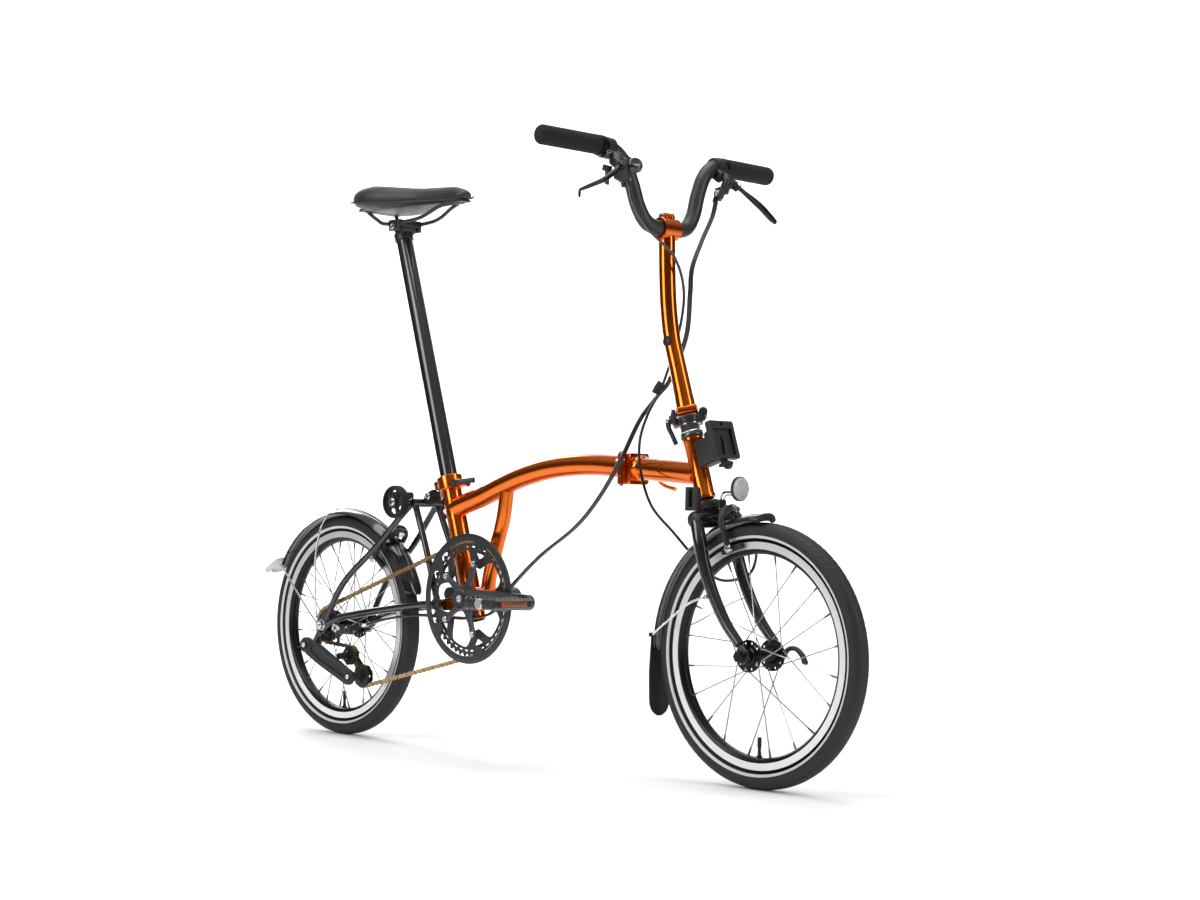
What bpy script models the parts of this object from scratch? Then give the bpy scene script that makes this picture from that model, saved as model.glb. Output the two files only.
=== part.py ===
"""Folding bicycle with 16 inch wheels, modelled as separate sub-parts.

Frame of the part: metres, +X forward, +Y to the rider's left, +Z up, origin on the ground under the
middle of the whole bicycle. Inside this file places are given in millimetres from the point on the
ground under the rear axle, and at() turns them into the part's frame.
"""
import math

import bmesh
import bpy
from mathutils import Matrix, Vector

# ---- driving dimensions, in millimetres -------------------------------------------------------
MM = 0.001
MIDDLE_X = 504.0            # from the rear axle to the middle of the bicycle
GAP = 0.35                  # clearance between neighbouring pieces

WHEELBASE = 1045.0
WHEEL_R = 208.0             # outside of the tyre
TYRE_HALF_WIDTH = 17.0
TYRE_HEIGHT = 30.0
RIM_R = 177.0
RIM_INNER_R = 158.0
RIM_HALF_WIDTH = 12.0
WHEEL_STEPS = 40
AXLE_R = 5.0

BRACKET = (404.0, 273.0)    # bottom bracket axis, x and z
SPINDLE_R = 8.5
CRANK_LENGTH = 170.0
CRANK_Y = 60.0
CHAIN_Y = -41.0
CHAIN_R = 3.4
CHAINRING_R = 101.0         # pitch radius
GUARD_R = 114.7
SPROCKET_R = 33.0

SEAT_ANGLE = math.radians(72.5)
SEAT_POINT = (295.0, 487.0)  # where the seat tube's axis leaves its top
SEAT_TUBE_R = 18.0
POST_R = 15.9
POST_TOP_Z = 944.0
POST_BOTTOM_Z = 395.0

HEAD_ANGLE = math.radians(72.5)
HEAD_POINT = (901.0, 529.0)
HEAD_TUBE_R = 15.8
STEERER_R = 13.0
FORK_Y = 42.0

MAIN_TUBE_R = 18.5
HINGE_X = 762.0             # parting plane of the main hinge
HINGE_PIN_Y = -28.0
PIVOT = (305.0, 258.0)      # rear frame's pivot axis, x and z
STEM_R = 14.0
BAR_R = 12.7
GRIP_R = 16.0
GRIP_FROM = 148.0
GRIP_TO = 275.0

FRONT_AXLE = (WHEELBASE, WHEEL_R)
REAR_AXLE = (0.0, WHEEL_R)
ROLLER = (219.0, 442.0)
TENSIONER = (-25.0, 170.0)
LOWER_IDLER = (108.0, 118.0)
UPPER_IDLER = (70.0, 154.0)

Y_AXIS = Vector((0.0, 1.0, 0.0))
Z_AXIS = Vector((0.0, 0.0, 1.0))
HEAD_UP = Vector((-math.cos(HEAD_ANGLE), 0.0, math.sin(HEAD_ANGLE)))
HEAD_FORWARD = Vector((math.sin(HEAD_ANGLE), 0.0, math.cos(HEAD_ANGLE)))
SEAT_UP = Vector((-math.cos(SEAT_ANGLE), 0.0, math.sin(SEAT_ANGLE)))


# ---- scene and materials ----------------------------------------------------------------------
def clear_scene():
    for thing in list(bpy.data.objects):
        bpy.data.objects.remove(thing, do_unlink=True)


def new_collection(name):
    made = bpy.data.collections.new(name)
    bpy.context.scene.collection.children.link(made)
    return made


clear_scene()
BICYCLE = new_collection("folding_bicycle")
CUTTERS = new_collection("cutters")

COLOURS = {
    "orange_lacquer": ((0.80, 0.23, 0.02, 1.0), 0.22, 0.55),
    "black_enamel": ((0.035, 0.036, 0.040, 1.0), 0.30, 0.20),
    "black_plastic": ((0.025, 0.025, 0.028, 1.0), 0.55, 0.0),
    "black_alloy": ((0.045, 0.045, 0.050, 1.0), 0.38, 0.80),
    "silver_alloy": ((0.70, 0.71, 0.73, 1.0), 0.25, 1.0),
    "grey_crank": ((0.33, 0.34, 0.36, 1.0), 0.32, 0.90),
    "chain_steel": ((0.60, 0.50, 0.36, 1.0), 0.35, 1.0),
    "tyre_rubber": ((0.020, 0.020, 0.021, 1.0), 0.75, 0.0),
    "black_rubber": ((0.020, 0.020, 0.020, 1.0), 0.85, 0.0),
    "saddle_cover": ((0.022, 0.022, 0.024, 1.0), 0.55, 0.0),
    "clear_reflector": ((0.85, 0.86, 0.88, 1.0), 0.15, 0.0),
    "red_reflector": ((0.55, 0.02, 0.02, 1.0), 0.20, 0.0),
}


def make_material(name):
    colour, roughness, metallic = COLOURS[name]
    made = bpy.data.materials.new(name)
    made.use_nodes = True
    shader = made.node_tree.nodes["Principled BSDF"]
    shader.inputs["Base Color"].default_value = colour
    shader.inputs["Roughness"].default_value = roughness
    shader.inputs["Metallic"].default_value = metallic
    return made


MATERIALS = {name: make_material(name) for name in COLOURS}


# ---- places -----------------------------------------------------------------------------------
def at(x, y, z):
    """A place in millimetres from the ground under the rear axle, as a point of the part in metres."""
    return Vector(((x - MIDDLE_X) * MM, y * MM, z * MM))


def on_seat_axis(z, y=0.0):
    drop = SEAT_POINT[1] - z
    return at(SEAT_POINT[0] + drop / math.tan(SEAT_ANGLE), y, z)


def on_head_axis(z, y=0.0):
    drop = HEAD_POINT[1] - z
    return at(HEAD_POINT[0] + drop / math.tan(HEAD_ANGLE), y, z)


def on_wheel(axle, radius, degrees, y):
    """A place on a circle about a wheel's axle; the angle runs from forward to up."""
    angle = math.radians(degrees)
    return at(axle[0] + radius * math.cos(angle), y, axle[1] + radius * math.sin(angle))


def bore_radius(radius, sides):
    """Radius of a many-sided hole that clears a round piece of the given radius."""
    return (radius + GAP) / math.cos(math.pi / sides)


def turn_to(direction):
    """Rotation that takes +Z to a direction."""
    return Z_AXIS.rotation_difference(Vector(direction).normalized()).to_matrix().to_4x4()


def smooth(points, per_span=4):
    """A smooth curve through the points, read at even steps between each two."""
    ends = [points[0] * 2 - points[1]] + list(points) + [points[-1] * 2 - points[-2]]
    read = []
    for i in range(1, len(ends) - 2):
        a, b, c, d = ends[i - 1:i + 3]
        for step in range(per_span):
            t = step / per_span
            read.append(0.5 * (2 * b + (c - a) * t + (2 * a - 5 * b + 4 * c - d) * t ** 2
                               + (3 * b - a - 3 * c + d) * t ** 3))
    read.append(points[-1].copy())
    return read


# ---- shapes: each function returns a loose mesh object for solid() to join or cut --------------
def loose_object(name, mesh):
    made = bpy.data.objects.new(name, mesh)
    CUTTERS.objects.link(made)
    made.hide_render = True
    made.display_type = "WIRE"
    return made


def from_bmesh(name, shape, matrix):
    mesh = bpy.data.meshes.new(name)
    bmesh.ops.recalc_face_normals(shape, faces=shape.faces)
    shape.to_mesh(mesh)
    shape.free()
    mesh.transform(matrix)
    return loose_object(name, mesh)


def box(centre, size, turn=None):
    """A block with its size in millimetres along its own axes."""
    shape = bmesh.new()
    bmesh.ops.create_cube(shape, size=1.0)
    scale = Matrix.Diagonal((size[0] * MM, size[1] * MM, size[2] * MM, 1.0))
    return from_bmesh("block", shape, Matrix.Translation(centre) @ (turn or Matrix()) @ scale)


def cone(start, end, radius_start, radius_end, sides=16):
    shape = bmesh.new()
    length = (end - start).length
    bmesh.ops.create_cone(shape, cap_ends=True, segments=sides, radius1=radius_start * MM,
                          radius2=radius_end * MM, depth=length)
    place = Matrix.Translation((start + end) / 2) @ turn_to(end - start)
    return from_bmesh("cylinder", shape, place)


def cylinder(start, end, radius, sides=16):
    return cone(start, end, radius, radius, sides)


def across(x, z, y_from, y_to, radius, sides=16):
    """A cylinder that runs from side to side of the bicycle."""
    return cylinder(at(x, y_from, z), at(x, y_to, z), radius, sides)


def tube(points, radius, cyclic=False, resolution=2):
    """A round tube along a list of points, from a bevelled curve made into a mesh."""
    curve = bpy.data.curves.new("tube", "CURVE")
    curve.dimensions = "3D"
    curve.bevel_depth = radius * MM
    curve.bevel_resolution = resolution
    curve.use_fill_caps = not cyclic
    line = curve.splines.new("POLY")
    line.points.add(len(points) - 1)
    for place, point in zip(points, line.points):
        point.co = (place.x, place.y, place.z, 1.0)
    line.use_cyclic_u = cyclic
    guide = bpy.data.objects.new("tube_guide", curve)
    CUTTERS.objects.link(guide)
    bpy.context.view_layer.update()
    evaluated = guide.evaluated_get(bpy.context.evaluated_depsgraph_get())
    mesh = bpy.data.meshes.new_from_object(evaluated)
    bpy.data.objects.remove(guide, do_unlink=True)
    shape = bmesh.new()
    shape.from_mesh(mesh)
    bmesh.ops.remove_doubles(shape, verts=shape.verts, dist=0.000001)
    return from_bmesh("tube", shape, Matrix())


def turned(profile, centre, axis=Y_AXIS, sides=24):
    """A turned piece: the profile is a closed loop of (radius, height) that runs down its outer side."""
    mesh = bpy.data.meshes.new("profile")
    points = [(radius * MM, 0.0, height * MM) for radius, height in profile]
    count = len(points)
    mesh.from_pydata(points, [(i, (i + 1) % count) for i in range(count)], [])
    made = loose_object("turned", mesh)
    screw = made.modifiers.new("Screw", "SCREW")
    screw.steps = sides
    screw.render_steps = sides
    screw.use_merge_vertices = True
    screw.merge_threshold = 0.00005
    made.matrix_world = Matrix.Translation(centre) @ turn_to(axis)
    return made


def plate(outline, y_from, y_to, holes=()):
    """A flat plate that faces sideways: outlines are lists of (x, z), thickness is along Y."""
    curve = bpy.data.curves.new("plate", "CURVE")
    curve.dimensions = "2D"
    curve.fill_mode = "BOTH"
    curve.extrude = abs(y_to - y_from) / 2 * MM
    for loop in [outline] + list(holes):
        line = curve.splines.new("POLY")
        line.points.add(len(loop) - 1)
        for (x, z), point in zip(loop, line.points):
            point.co = ((x - MIDDLE_X) * MM, z * MM, 0.0, 1.0)
        line.use_cyclic_u = True
    guide = bpy.data.objects.new("plate_guide", curve)
    CUTTERS.objects.link(guide)
    bpy.context.view_layer.update()
    evaluated = guide.evaluated_get(bpy.context.evaluated_depsgraph_get())
    mesh = bpy.data.meshes.new_from_object(evaluated)
    bpy.data.objects.remove(guide, do_unlink=True)
    shape = bmesh.new()
    shape.from_mesh(mesh)
    bmesh.ops.remove_doubles(shape, verts=shape.verts, dist=0.000001)
    stand_up = Matrix.Rotation(math.radians(90), 4, "X")
    middle = Matrix.Translation((0.0, (y_from + y_to) / 2 * MM, 0.0))
    return from_bmesh("plate", shape, middle @ stand_up)


def circle(x, z, radius, sides, start=0.0):
    """Outline points of a circle, for plate()."""
    steps = [start + 2 * math.pi * i / sides for i in range(sides)]
    return [(x + radius * math.cos(a), z + radius * math.sin(a)) for a in steps]


def loft(sections):
    """A closed solid through rings of equally many points."""
    shape = bmesh.new()
    rings = [[shape.verts.new(point) for point in ring] for ring in sections]
    count = len(rings[0])
    for near, far in zip(rings, rings[1:]):
        for i in range(count):
            j = (i + 1) % count
            shape.faces.new((near[i], near[j], far[j], far[i]))
    shape.faces.new(rings[0][::-1])
    shape.faces.new(rings[-1])
    return from_bmesh("loft", shape, Matrix())


def solid(name, material, body, base, joined=(), cut=()):
    """Names a piece: base with the joined shapes added and the cut shapes taken away."""
    CUTTERS.objects.unlink(base)
    BICYCLE.objects.link(base)
    base.name = name
    base.hide_render = False
    base.display_type = "TEXTURED"
    base.data.materials.clear()
    base.data.materials.append(MATERIALS[material])
    for operation, shapes in (("UNION", joined), ("DIFFERENCE", cut)):
        for other in shapes:
            step = base.modifiers.new(operation.title(), "BOOLEAN")
            step.operation = operation
            step.solver = "EXACT"
            step.object = other
    bpy.context.view_layer.update()
    place = base.matrix_world.copy()
    base.parent = body
    base.matrix_parent_inverse = body.matrix_world.inverted()
    base.matrix_world = place
    base.data.shade_smooth()
    base.data.set_sharp_from_angle(angle=math.radians(35))
    return base


def body(name, place):
    """An empty on a joint's axis, which carries the pieces that move together."""
    made = bpy.data.objects.new("body_" + name, None)
    BICYCLE.objects.link(made)
    made.empty_display_size = 0.02
    made.location = place
    bpy.context.view_layer.update()
    return made


# ---- bodies -----------------------------------------------------------------------------------
STEM_BASE_Z = 585.0
STEM_SIDE = (HEAD_FORWARD + Y_AXIS).normalized()      # from the stem's middle to its hinge pin
STEM_FOLD_AXIS = (Y_AXIS - HEAD_FORWARD).normalized()
STEM_PIN_OFFSET = 25.0
STEM_PIN = on_head_axis(STEM_BASE_Z) + STEM_SIDE * STEM_PIN_OFFSET * MM

REAR_BRAKE_DEG = 50.0
FRONT_BRAKE_DEG = 107.0
BRAKE_BOLT_R = 236.0

MAIN_FRAME = body("main_frame", at(BRACKET[0], 0, BRACKET[1]))
SEAT = body("seat", on_seat_axis(SEAT_POINT[1]))
SEAT_LEVER = body("seat_lever", on_seat_axis(477.0) + Vector((0.030, 0.0, 0.0)))
REAR_FRAME = body("rear_frame", at(PIVOT[0], 0, PIVOT[1]))
REAR_WHEEL = body("rear_wheel", at(REAR_AXLE[0], 0, REAR_AXLE[1]))
SPROCKETS = body("sprockets", at(REAR_AXLE[0], CHAIN_Y, REAR_AXLE[1]))
TENSIONER_BODY = body("tensioner", at(TENSIONER[0], -72, TENSIONER[1]))
CRANKS = body("cranks", at(BRACKET[0], 0, BRACKET[1]))
FRONT_FRAME = body("front_frame", at(HINGE_X, HINGE_PIN_Y, 500.0))
FORK = body("fork", on_head_axis(430.0))
FRONT_WHEEL = body("front_wheel", at(FRONT_AXLE[0], 0, FRONT_AXLE[1]))
STEM = body("stem", STEM_PIN)


# ---- wheels -----------------------------------------------------------------------------------
def make_tyre(name, axle, wheel):
    middle_r = WHEEL_R - TYRE_HEIGHT / 2
    steps = [2 * math.pi * i / 8 for i in range(8)]
    section = [(middle_r + TYRE_HEIGHT / 2 * math.cos(a), -TYRE_HALF_WIDTH * math.sin(a)) for a in steps]
    tyre = turned(section, at(axle[0], 0, axle[1]), Y_AXIS, WHEEL_STEPS)
    return solid(name, "tyre_rubber", wheel, tyre)


def make_rim(name, axle, wheel):
    half = RIM_HALF_WIDTH
    section = [(RIM_R, half), (RIM_R, -half), (166.0, -half), (RIM_INNER_R, -6.0), (RIM_INNER_R, 6.0),
               (166.0, half)]
    rim = turned(section, at(axle[0], 0, axle[1]), Y_AXIS, WHEEL_STEPS)
    valve = cylinder(at(axle[0], 0, axle[1] - RIM_INNER_R - 2), at(axle[0], 0, axle[1] - 126.0), 3.0, 8)
    return solid(name, "silver_alloy", wheel, rim, [valve])


def make_spokes(axle, flanges, count, phase):
    """All the spokes of a wheel as one loose object of separate rods."""
    shape = bmesh.new()
    for i in range(count):
        angle = 2 * math.pi * (i + phase) / count
        side = flanges[i % len(flanges)]
        outward = Vector((math.cos(angle), 0.0, math.sin(angle)))
        start = at(axle[0], side, axle[1]) + outward * 18.0 * MM
        end = at(axle[0], side * 0.12, axle[1]) + outward * (RIM_INNER_R - 1.2) * MM
        place = Matrix.Translation((start + end) / 2) @ turn_to(end - start)
        bmesh.ops.create_cone(shape, cap_ends=True, segments=4, radius1=1.1 * MM, radius2=1.1 * MM,
                              depth=(end - start).length, matrix=place)
    return from_bmesh("spokes", shape, Matrix())


def make_hub(name, axle, wheel, profile, flanges, count, phase):
    hub = turned(profile, at(axle[0], 0, axle[1]), Y_AXIS, 16)
    return solid(name, "black_alloy", wheel, hub, [make_spokes(axle, flanges, count, phase)])


HUB_BORE = bore_radius(AXLE_R, 16)
FRONT_HUB = [(HUB_BORE, 37), (11, 37), (11, 31), (25, 30), (25, 26), (12, 22), (12, -22), (25, -26),
             (25, -30), (11, -31), (11, -37), (HUB_BORE, -37)]
REAR_HUB = [(HUB_BORE, 49.5), (11, 49.5), (11, 35), (26, 34), (26, 30), (15, 26), (15, -18), (26, -22),
            (26, -26), (12, -28), (12, -49.5), (HUB_BORE, -49.5)]

make_tyre("front_tyre", FRONT_AXLE, FRONT_WHEEL)
make_rim("front_rim", FRONT_AXLE, FRONT_WHEEL)
make_hub("front_hub", FRONT_AXLE, FRONT_WHEEL, FRONT_HUB, (28.0, -28.0), 20, 0.5)
make_tyre("rear_tyre", REAR_AXLE, REAR_WHEEL)
make_rim("rear_rim", REAR_AXLE, REAR_WHEEL)
make_hub("rear_hub", REAR_AXLE, REAR_WHEEL, REAR_HUB, (32.0, -24.0), 28, 0.5)


# ---- main frame -------------------------------------------------------------------------------
def seat_axis_rod(z_low, z_high, radius, sides=16):
    return cylinder(on_seat_axis(z_low), on_seat_axis(z_high), radius, sides)


def make_seat_tube():
    tube_solid = seat_axis_rod(232.0, SEAT_POINT[1] - 1, SEAT_TUBE_R)
    bore = seat_axis_rod(220.0, SEAT_POINT[1] + 12, bore_radius(POST_R, 16))
    return solid("seat_tube", "orange_lacquer", MAIN_FRAME, tube_solid, cut=[bore])


MAIN_TUBE_REAR = [(316, 431), (345, 441), (390, 454), (446, 474), (500, 490), (560, 502), (620, 507.5),
                  (680, 508), (HINGE_X - 10, 503.5)]
MAIN_TUBE_FRONT = [(HINGE_X + 10, 502.5), (800, 500), (840, 497), (908, 492)]


def main_tube_points(pairs, per_span=2):
    return smooth([at(x, 0, z) for x, z in pairs], per_span)


def hinge_plate(x_from, x_to):
    size = (x_to - x_from, 46.0, 52.0)
    return box(at((x_from + x_to) / 2, -1.0, 500.5), size)


def hinge_knuckle(z_low, z_high, x_reach):
    """A knuckle on the hinge pin with the neck that joins it to its plate."""
    barrel = cylinder(at(HINGE_X, HINGE_PIN_Y, z_low), at(HINGE_X, HINGE_PIN_Y, z_high), 7.0, 12)
    neck = box(at(HINGE_X + x_reach / 2, HINGE_PIN_Y + 1.5, (z_low + z_high) / 2),
               (abs(x_reach) - 1.0, 10.0, z_high - z_low - 0.4))
    return [barrel, neck]


def make_main_tube_rear():
    pieces = [hinge_plate(HINGE_X - 15, HINGE_X - GAP)]
    for z_low, z_high in ((474.5, 488.0), (513.0, 526.5)):
        pieces += hinge_knuckle(z_low, z_high, -12.0)
    cuts = [
        seat_axis_rod(380.0, 500.0, bore_radius(SEAT_TUBE_R, 16)),
        cylinder(at(HINGE_X, HINGE_PIN_Y, 460), at(HINGE_X, HINGE_PIN_Y, 540), bore_radius(3.5, 12), 12),
        cylinder(at(HINGE_X, HINGE_PIN_Y, 488.0 + 0.01), at(HINGE_X, HINGE_PIN_Y, 512.99), 8.0, 12),
    ]
    base = tube(main_tube_points(MAIN_TUBE_REAR), MAIN_TUBE_R, resolution=3)
    return solid("main_tube_rear", "orange_lacquer", MAIN_FRAME, base, pieces, cuts)


def make_main_tube_front():
    pieces = [hinge_plate(HINGE_X + GAP, HINGE_X + 15)]
    pieces += hinge_knuckle(488.0 + 2 * GAP, 513.0 - 2 * GAP, 12.0)
    cuts = [
        cylinder(on_head_axis(440), on_head_axis(560), bore_radius(HEAD_TUBE_R, 16), 16),
        cylinder(at(HINGE_X, HINGE_PIN_Y, 460), at(HINGE_X, HINGE_PIN_Y, 540), bore_radius(3.5, 12), 12),
        cylinder(at(HINGE_X, HINGE_PIN_Y, 460), at(HINGE_X, HINGE_PIN_Y, 488.0 + GAP), 8.0, 12),
        cylinder(at(HINGE_X, HINGE_PIN_Y, 513.0 - GAP), at(HINGE_X, HINGE_PIN_Y, 540), 8.0, 12),
    ]
    base = tube(main_tube_points(MAIN_TUBE_FRONT), MAIN_TUBE_R, resolution=3)
    return solid("main_tube_front", "orange_lacquer", FRONT_FRAME, base, pieces, cuts)


def make_bottom_bracket():
    shell = across(BRACKET[0], BRACKET[1], -34, 34, 20.0)
    strut_route = [(452, 470), (443, 415), (427, 368), (411, 318), (404, 285)]
    strut = tube(smooth([at(x, 0, z) for x, z in strut_route], 3), 13.0)
    pieces = [strut]
    reach = Vector((PIVOT[0] - BRACKET[0], 0.0, PIVOT[1] - BRACKET[1]))
    for side in (-1, 1):
        middle = at((PIVOT[0] + BRACKET[0]) / 2, side * 20.6, (PIVOT[1] + BRACKET[1]) / 2)
        pieces.append(box(middle, (20.0, 4.0, reach.length), turn_to(reach)))
    pieces.append(across(PIVOT[0], PIVOT[1], -22.6, 22.6, 11.0))
    pieces.append(across(PIVOT[0], PIVOT[1], -37.0, 37.0, 5.0))
    cuts = [
        across(BRACKET[0], BRACKET[1], -40, 40, bore_radius(SPINDLE_R, 16)),
        seat_axis_rod(200.0, 420.0, bore_radius(SEAT_TUBE_R, 16)),
        tube(main_tube_points(MAIN_TUBE_REAR), bore_radius(MAIN_TUBE_R, 10), resolution=3),
    ]
    return solid("bottom_bracket", "orange_lacquer", MAIN_FRAME, shell, pieces, cuts)


def make_seat_clamp():
    collar = seat_axis_rod(465.0, 489.0, 23.5)
    level = turn_to(SEAT_UP)
    rear_lug = box(on_seat_axis(474.0) + Vector((-0.030, 0, 0)), (20.0, 16.0, 16.0), level)
    front_lug = box(on_seat_axis(477.0) + Vector((0.027, 0, 0)), (18.0, 22.0, 14.0), level)
    cuts = [
        seat_axis_rod(440.0, SEAT_POINT[1] - 1 + GAP, bore_radius(SEAT_TUBE_R, 16)),
        seat_axis_rod(440.0, 520.0, bore_radius(POST_R, 16)),
        cylinder(on_seat_axis(477.0, -30) + Vector((0.030, 0, 0)),
                 on_seat_axis(477.0, 30) + Vector((0.030, 0, 0)), bore_radius(3.0, 12), 12),
        tube(main_tube_points(MAIN_TUBE_REAR), bore_radius(MAIN_TUBE_R, 10), resolution=3),
    ]
    return solid("seat_clamp", "orange_lacquer", MAIN_FRAME, collar, [rear_lug, front_lug], cuts)


def make_seat_clamp_lever():
    hub = on_seat_axis(477.0) + Vector((0.030, 0, 0))
    side = Vector((0, 0.001, 0))
    bolt = cylinder(hub - side * 18, hub + side * 20, 3.0, 12)
    cap = cylinder(hub - side * 19, hub - side * 11.6, 7.0, 12)
    handle = tube([hub - side * 15, hub + Vector((0.012, -0.016, 0.001)),
                   hub + Vector((0.022, -0.012, 0.004)), hub + Vector((0.040, -0.004, 0.006))], 4.2)
    return solid("seat_clamp_lever", "black_plastic", SEAT_LEVER, bolt, [cap, handle])


make_seat_tube()
make_main_tube_rear()
make_bottom_bracket()
make_seat_clamp()
make_seat_clamp_lever()
solid("main_hinge_pin", "silver_alloy", MAIN_FRAME,
      cylinder(at(HINGE_X, HINGE_PIN_Y, 472), at(HINGE_X, HINGE_PIN_Y, 529), 3.5, 12))


# ---- front frame ------------------------------------------------------------------------------
def make_head_tube():
    outer = cylinder(on_head_axis(448), on_head_axis(549), HEAD_TUBE_R)
    bore = cylinder(on_head_axis(430), on_head_axis(570), bore_radius(STEERER_R, 16))
    return solid("head_tube", "orange_lacquer", FRONT_FRAME, outer, cut=[bore])


def make_carrier_block():
    turn = turn_to(HEAD_UP)
    face = box(on_head_axis(536) + HEAD_FORWARD * 0.060, (10.0, 58.0, 64.0), turn)
    neck = box(on_head_axis(528) + HEAD_FORWARD * 0.034, (52.0, 32.0, 32.0), turn)
    lever = box(on_head_axis(500) + HEAD_FORWARD * 0.055, (26.0, 18.0, 5.0), turn)
    link = box(on_head_axis(508) + HEAD_FORWARD * 0.053, (8.0, 14.0, 18.0), turn)
    cut = cylinder(on_head_axis(430), on_head_axis(620), bore_radius(HEAD_TUBE_R, 16))
    return solid("carrier_block", "black_plastic", FRONT_FRAME, face, [neck, link, lever], [cut])


def make_main_hinge_clamp():
    plate_y = 22.0 + GAP + 3.5
    clamp = box(at(HINGE_X, plate_y, 500.5), (36.0, 6.5, 34.0))
    bolt = cylinder(at(HINGE_X, 24, 500.5), at(HINGE_X, 44, 500.5), 6.0, 12)
    handle_route = [at(HINGE_X, 40, 500), at(HINGE_X + 14, 42, 486), at(HINGE_X + 34, 40, 474),
                    at(HINGE_X + 62, 36, 468)]
    handle = tube(smooth(handle_route, 2), 4.6)
    place = body("main_hinge_clamp", at(HINGE_X, 30, 500.5))
    return solid("main_hinge_clamp", "orange_lacquer", place, clamp, [bolt, handle])


make_main_tube_front()
make_head_tube()
make_carrier_block()
make_main_hinge_clamp()


# ---- fork and what it carries -----------------------------------------------------------------
FORK_LEG = [(938, 414, 35), (950, 389, 41), (961, 350, FORK_Y), (980, 305, FORK_Y),
            (1008, 259, FORK_Y), (1038, 226, FORK_Y)]
STEM_PLATE = 36.0           # length of the two plates that meet at the stem's hinge


def stem_turn():
    """The stem hinge's plates lie across the steering axis, skewed 45 degrees to the left."""
    return turn_to(HEAD_UP) @ Matrix.Rotation(math.radians(45), 4, "Z")


def stem_knuckle(along, length, up):
    """A knuckle on the stem's hinge pin with its neck; up is 1 above the parting plane, -1 below."""
    line = STEM_FOLD_AXIS * MM
    middle = STEM_PIN + line * along
    barrel = cylinder(middle - line * length / 2, middle + line * length / 2, 6.0, 12)
    inner = STEM_SIDE * -0.0045
    neck = box(middle + inner + HEAD_UP * up * 0.0060, (15.0, length - 0.6, 11.2), stem_turn())
    return [barrel, neck]


def make_fork():
    steerer = cylinder(on_head_axis(428), on_head_axis(578), STEERER_R)
    pieces = [
        cylinder(on_head_axis(434), on_head_axis(447.6), 18.0),
        cylinder(on_head_axis(549.5), on_head_axis(561), 18.5),
        cylinder(on_head_axis(556), on_head_axis(573.4), 16.4, 6),
        cylinder(at(936.5, -39.5, 418), at(936.5, 39.5, 418), 14.0),
    ]
    for side in (-1, 1):
        route = [at(x, side * y, z) for x, z, y in FORK_LEG]
        pieces.append(tube(smooth(route, 2), 10.5))
        pieces.append(box(at(1043, side * 41, 211), (27.0, 6.4, 31.0)))
    pieces.append(box(on_head_axis(577.2), (STEM_PLATE, 34.0, 14.0), stem_turn()))
    pieces += stem_knuckle(0.0, 15.0, -1)
    line = STEM_FOLD_AXIS * MM
    cuts = [
        across(FRONT_AXLE[0], FRONT_AXLE[1], -70, 70, bore_radius(AXLE_R, 16)),
        cylinder(STEM_PIN - line * 20, STEM_PIN + line * 20, bore_radius(3.0, 12), 12),
    ]
    return solid("fork", "black_enamel", FORK, steerer, pieces, cuts)


def mudguard(axle, degrees_from, degrees_to, steps):
    """A curved strip round a wheel: an open section turned through part of a circle, then thickened."""
    mesh = bpy.data.meshes.new("mudguard")
    section = [(214.5, 22.0), (218.5, 16.0), (220.0, 0.0), (218.5, -16.0), (214.5, -22.0)]
    start = math.radians(degrees_from)
    points = [(r * MM * math.cos(start), r * MM * math.sin(start), y * MM) for r, y in section]
    mesh.from_pydata(points, [(i, i + 1) for i in range(len(points) - 1)], [])
    made = loose_object("mudguard", mesh)
    screw = made.modifiers.new("Screw", "SCREW")
    screw.steps = steps
    screw.render_steps = steps
    screw.angle = math.radians(degrees_to - degrees_from)
    shell = made.modifiers.new("Solidify", "SOLIDIFY")
    shell.thickness = 2.0 * MM
    shell.offset = 0.0
    upright = Matrix.Rotation(math.radians(90), 4, "X")
    made.matrix_world = Matrix.Translation(at(axle[0], 0, axle[1])) @ upright
    return made


def make_front_mudguard():
    guard = mudguard(FRONT_AXLE, 86.0, 197.0, 20)
    flap = box(on_wheel(FRONT_AXLE, 218.5, 203.5, 0), (4.6, 47.0, 64.0),
               Matrix.Rotation(math.radians(-203.5), 4, "Y"))
    half = [(980, 55, 298), (940, 53, 286), (880, 39, 254), (838, 24, 233), (825, 11, 229)]
    left = [at(x, y, z) for x, y, z in half]
    right = [at(x, -y, z) for x, y, z in reversed(half)]
    stay = tube(smooth(left + right, 2), 1.8, resolution=1)
    return solid("front_mudguard", "black_enamel", FORK, guard, [flap, stay])


def make_front_axle():
    rod = across(FRONT_AXLE[0], FRONT_AXLE[1], -53, 49, AXLE_R)
    nut = across(FRONT_AXLE[0], FRONT_AXLE[1], -56, -44.6, 9.5, 12)
    cap = across(FRONT_AXLE[0], FRONT_AXLE[1], 44.6, 51, 9.5, 12)
    return solid("front_axle", "black_alloy", FORK, rod, [nut, cap])


QUICK_AXIS = Vector((0.3, 0.0, 0.954)).normalized()


def make_quick_release_lever():
    middle = at(FRONT_AXLE[0], 57.0, FRONT_AXLE[1])
    place = body("quick_release", middle)
    eye = cylinder(middle - QUICK_AXIS * 0.006, middle + QUICK_AXIS * 0.006, 5.5, 12)
    route = [(0, 57, 0), (3, 64, 8), (14, 68, 9), (28, 67, 0), (38, 64, -14)]
    handle = tube(smooth([at(FRONT_AXLE[0] + x, y, FRONT_AXLE[1] + z) for x, y, z in route], 2), 4.0)
    return solid("front_quick_release", "black_alloy", place, eye, [handle])


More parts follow.
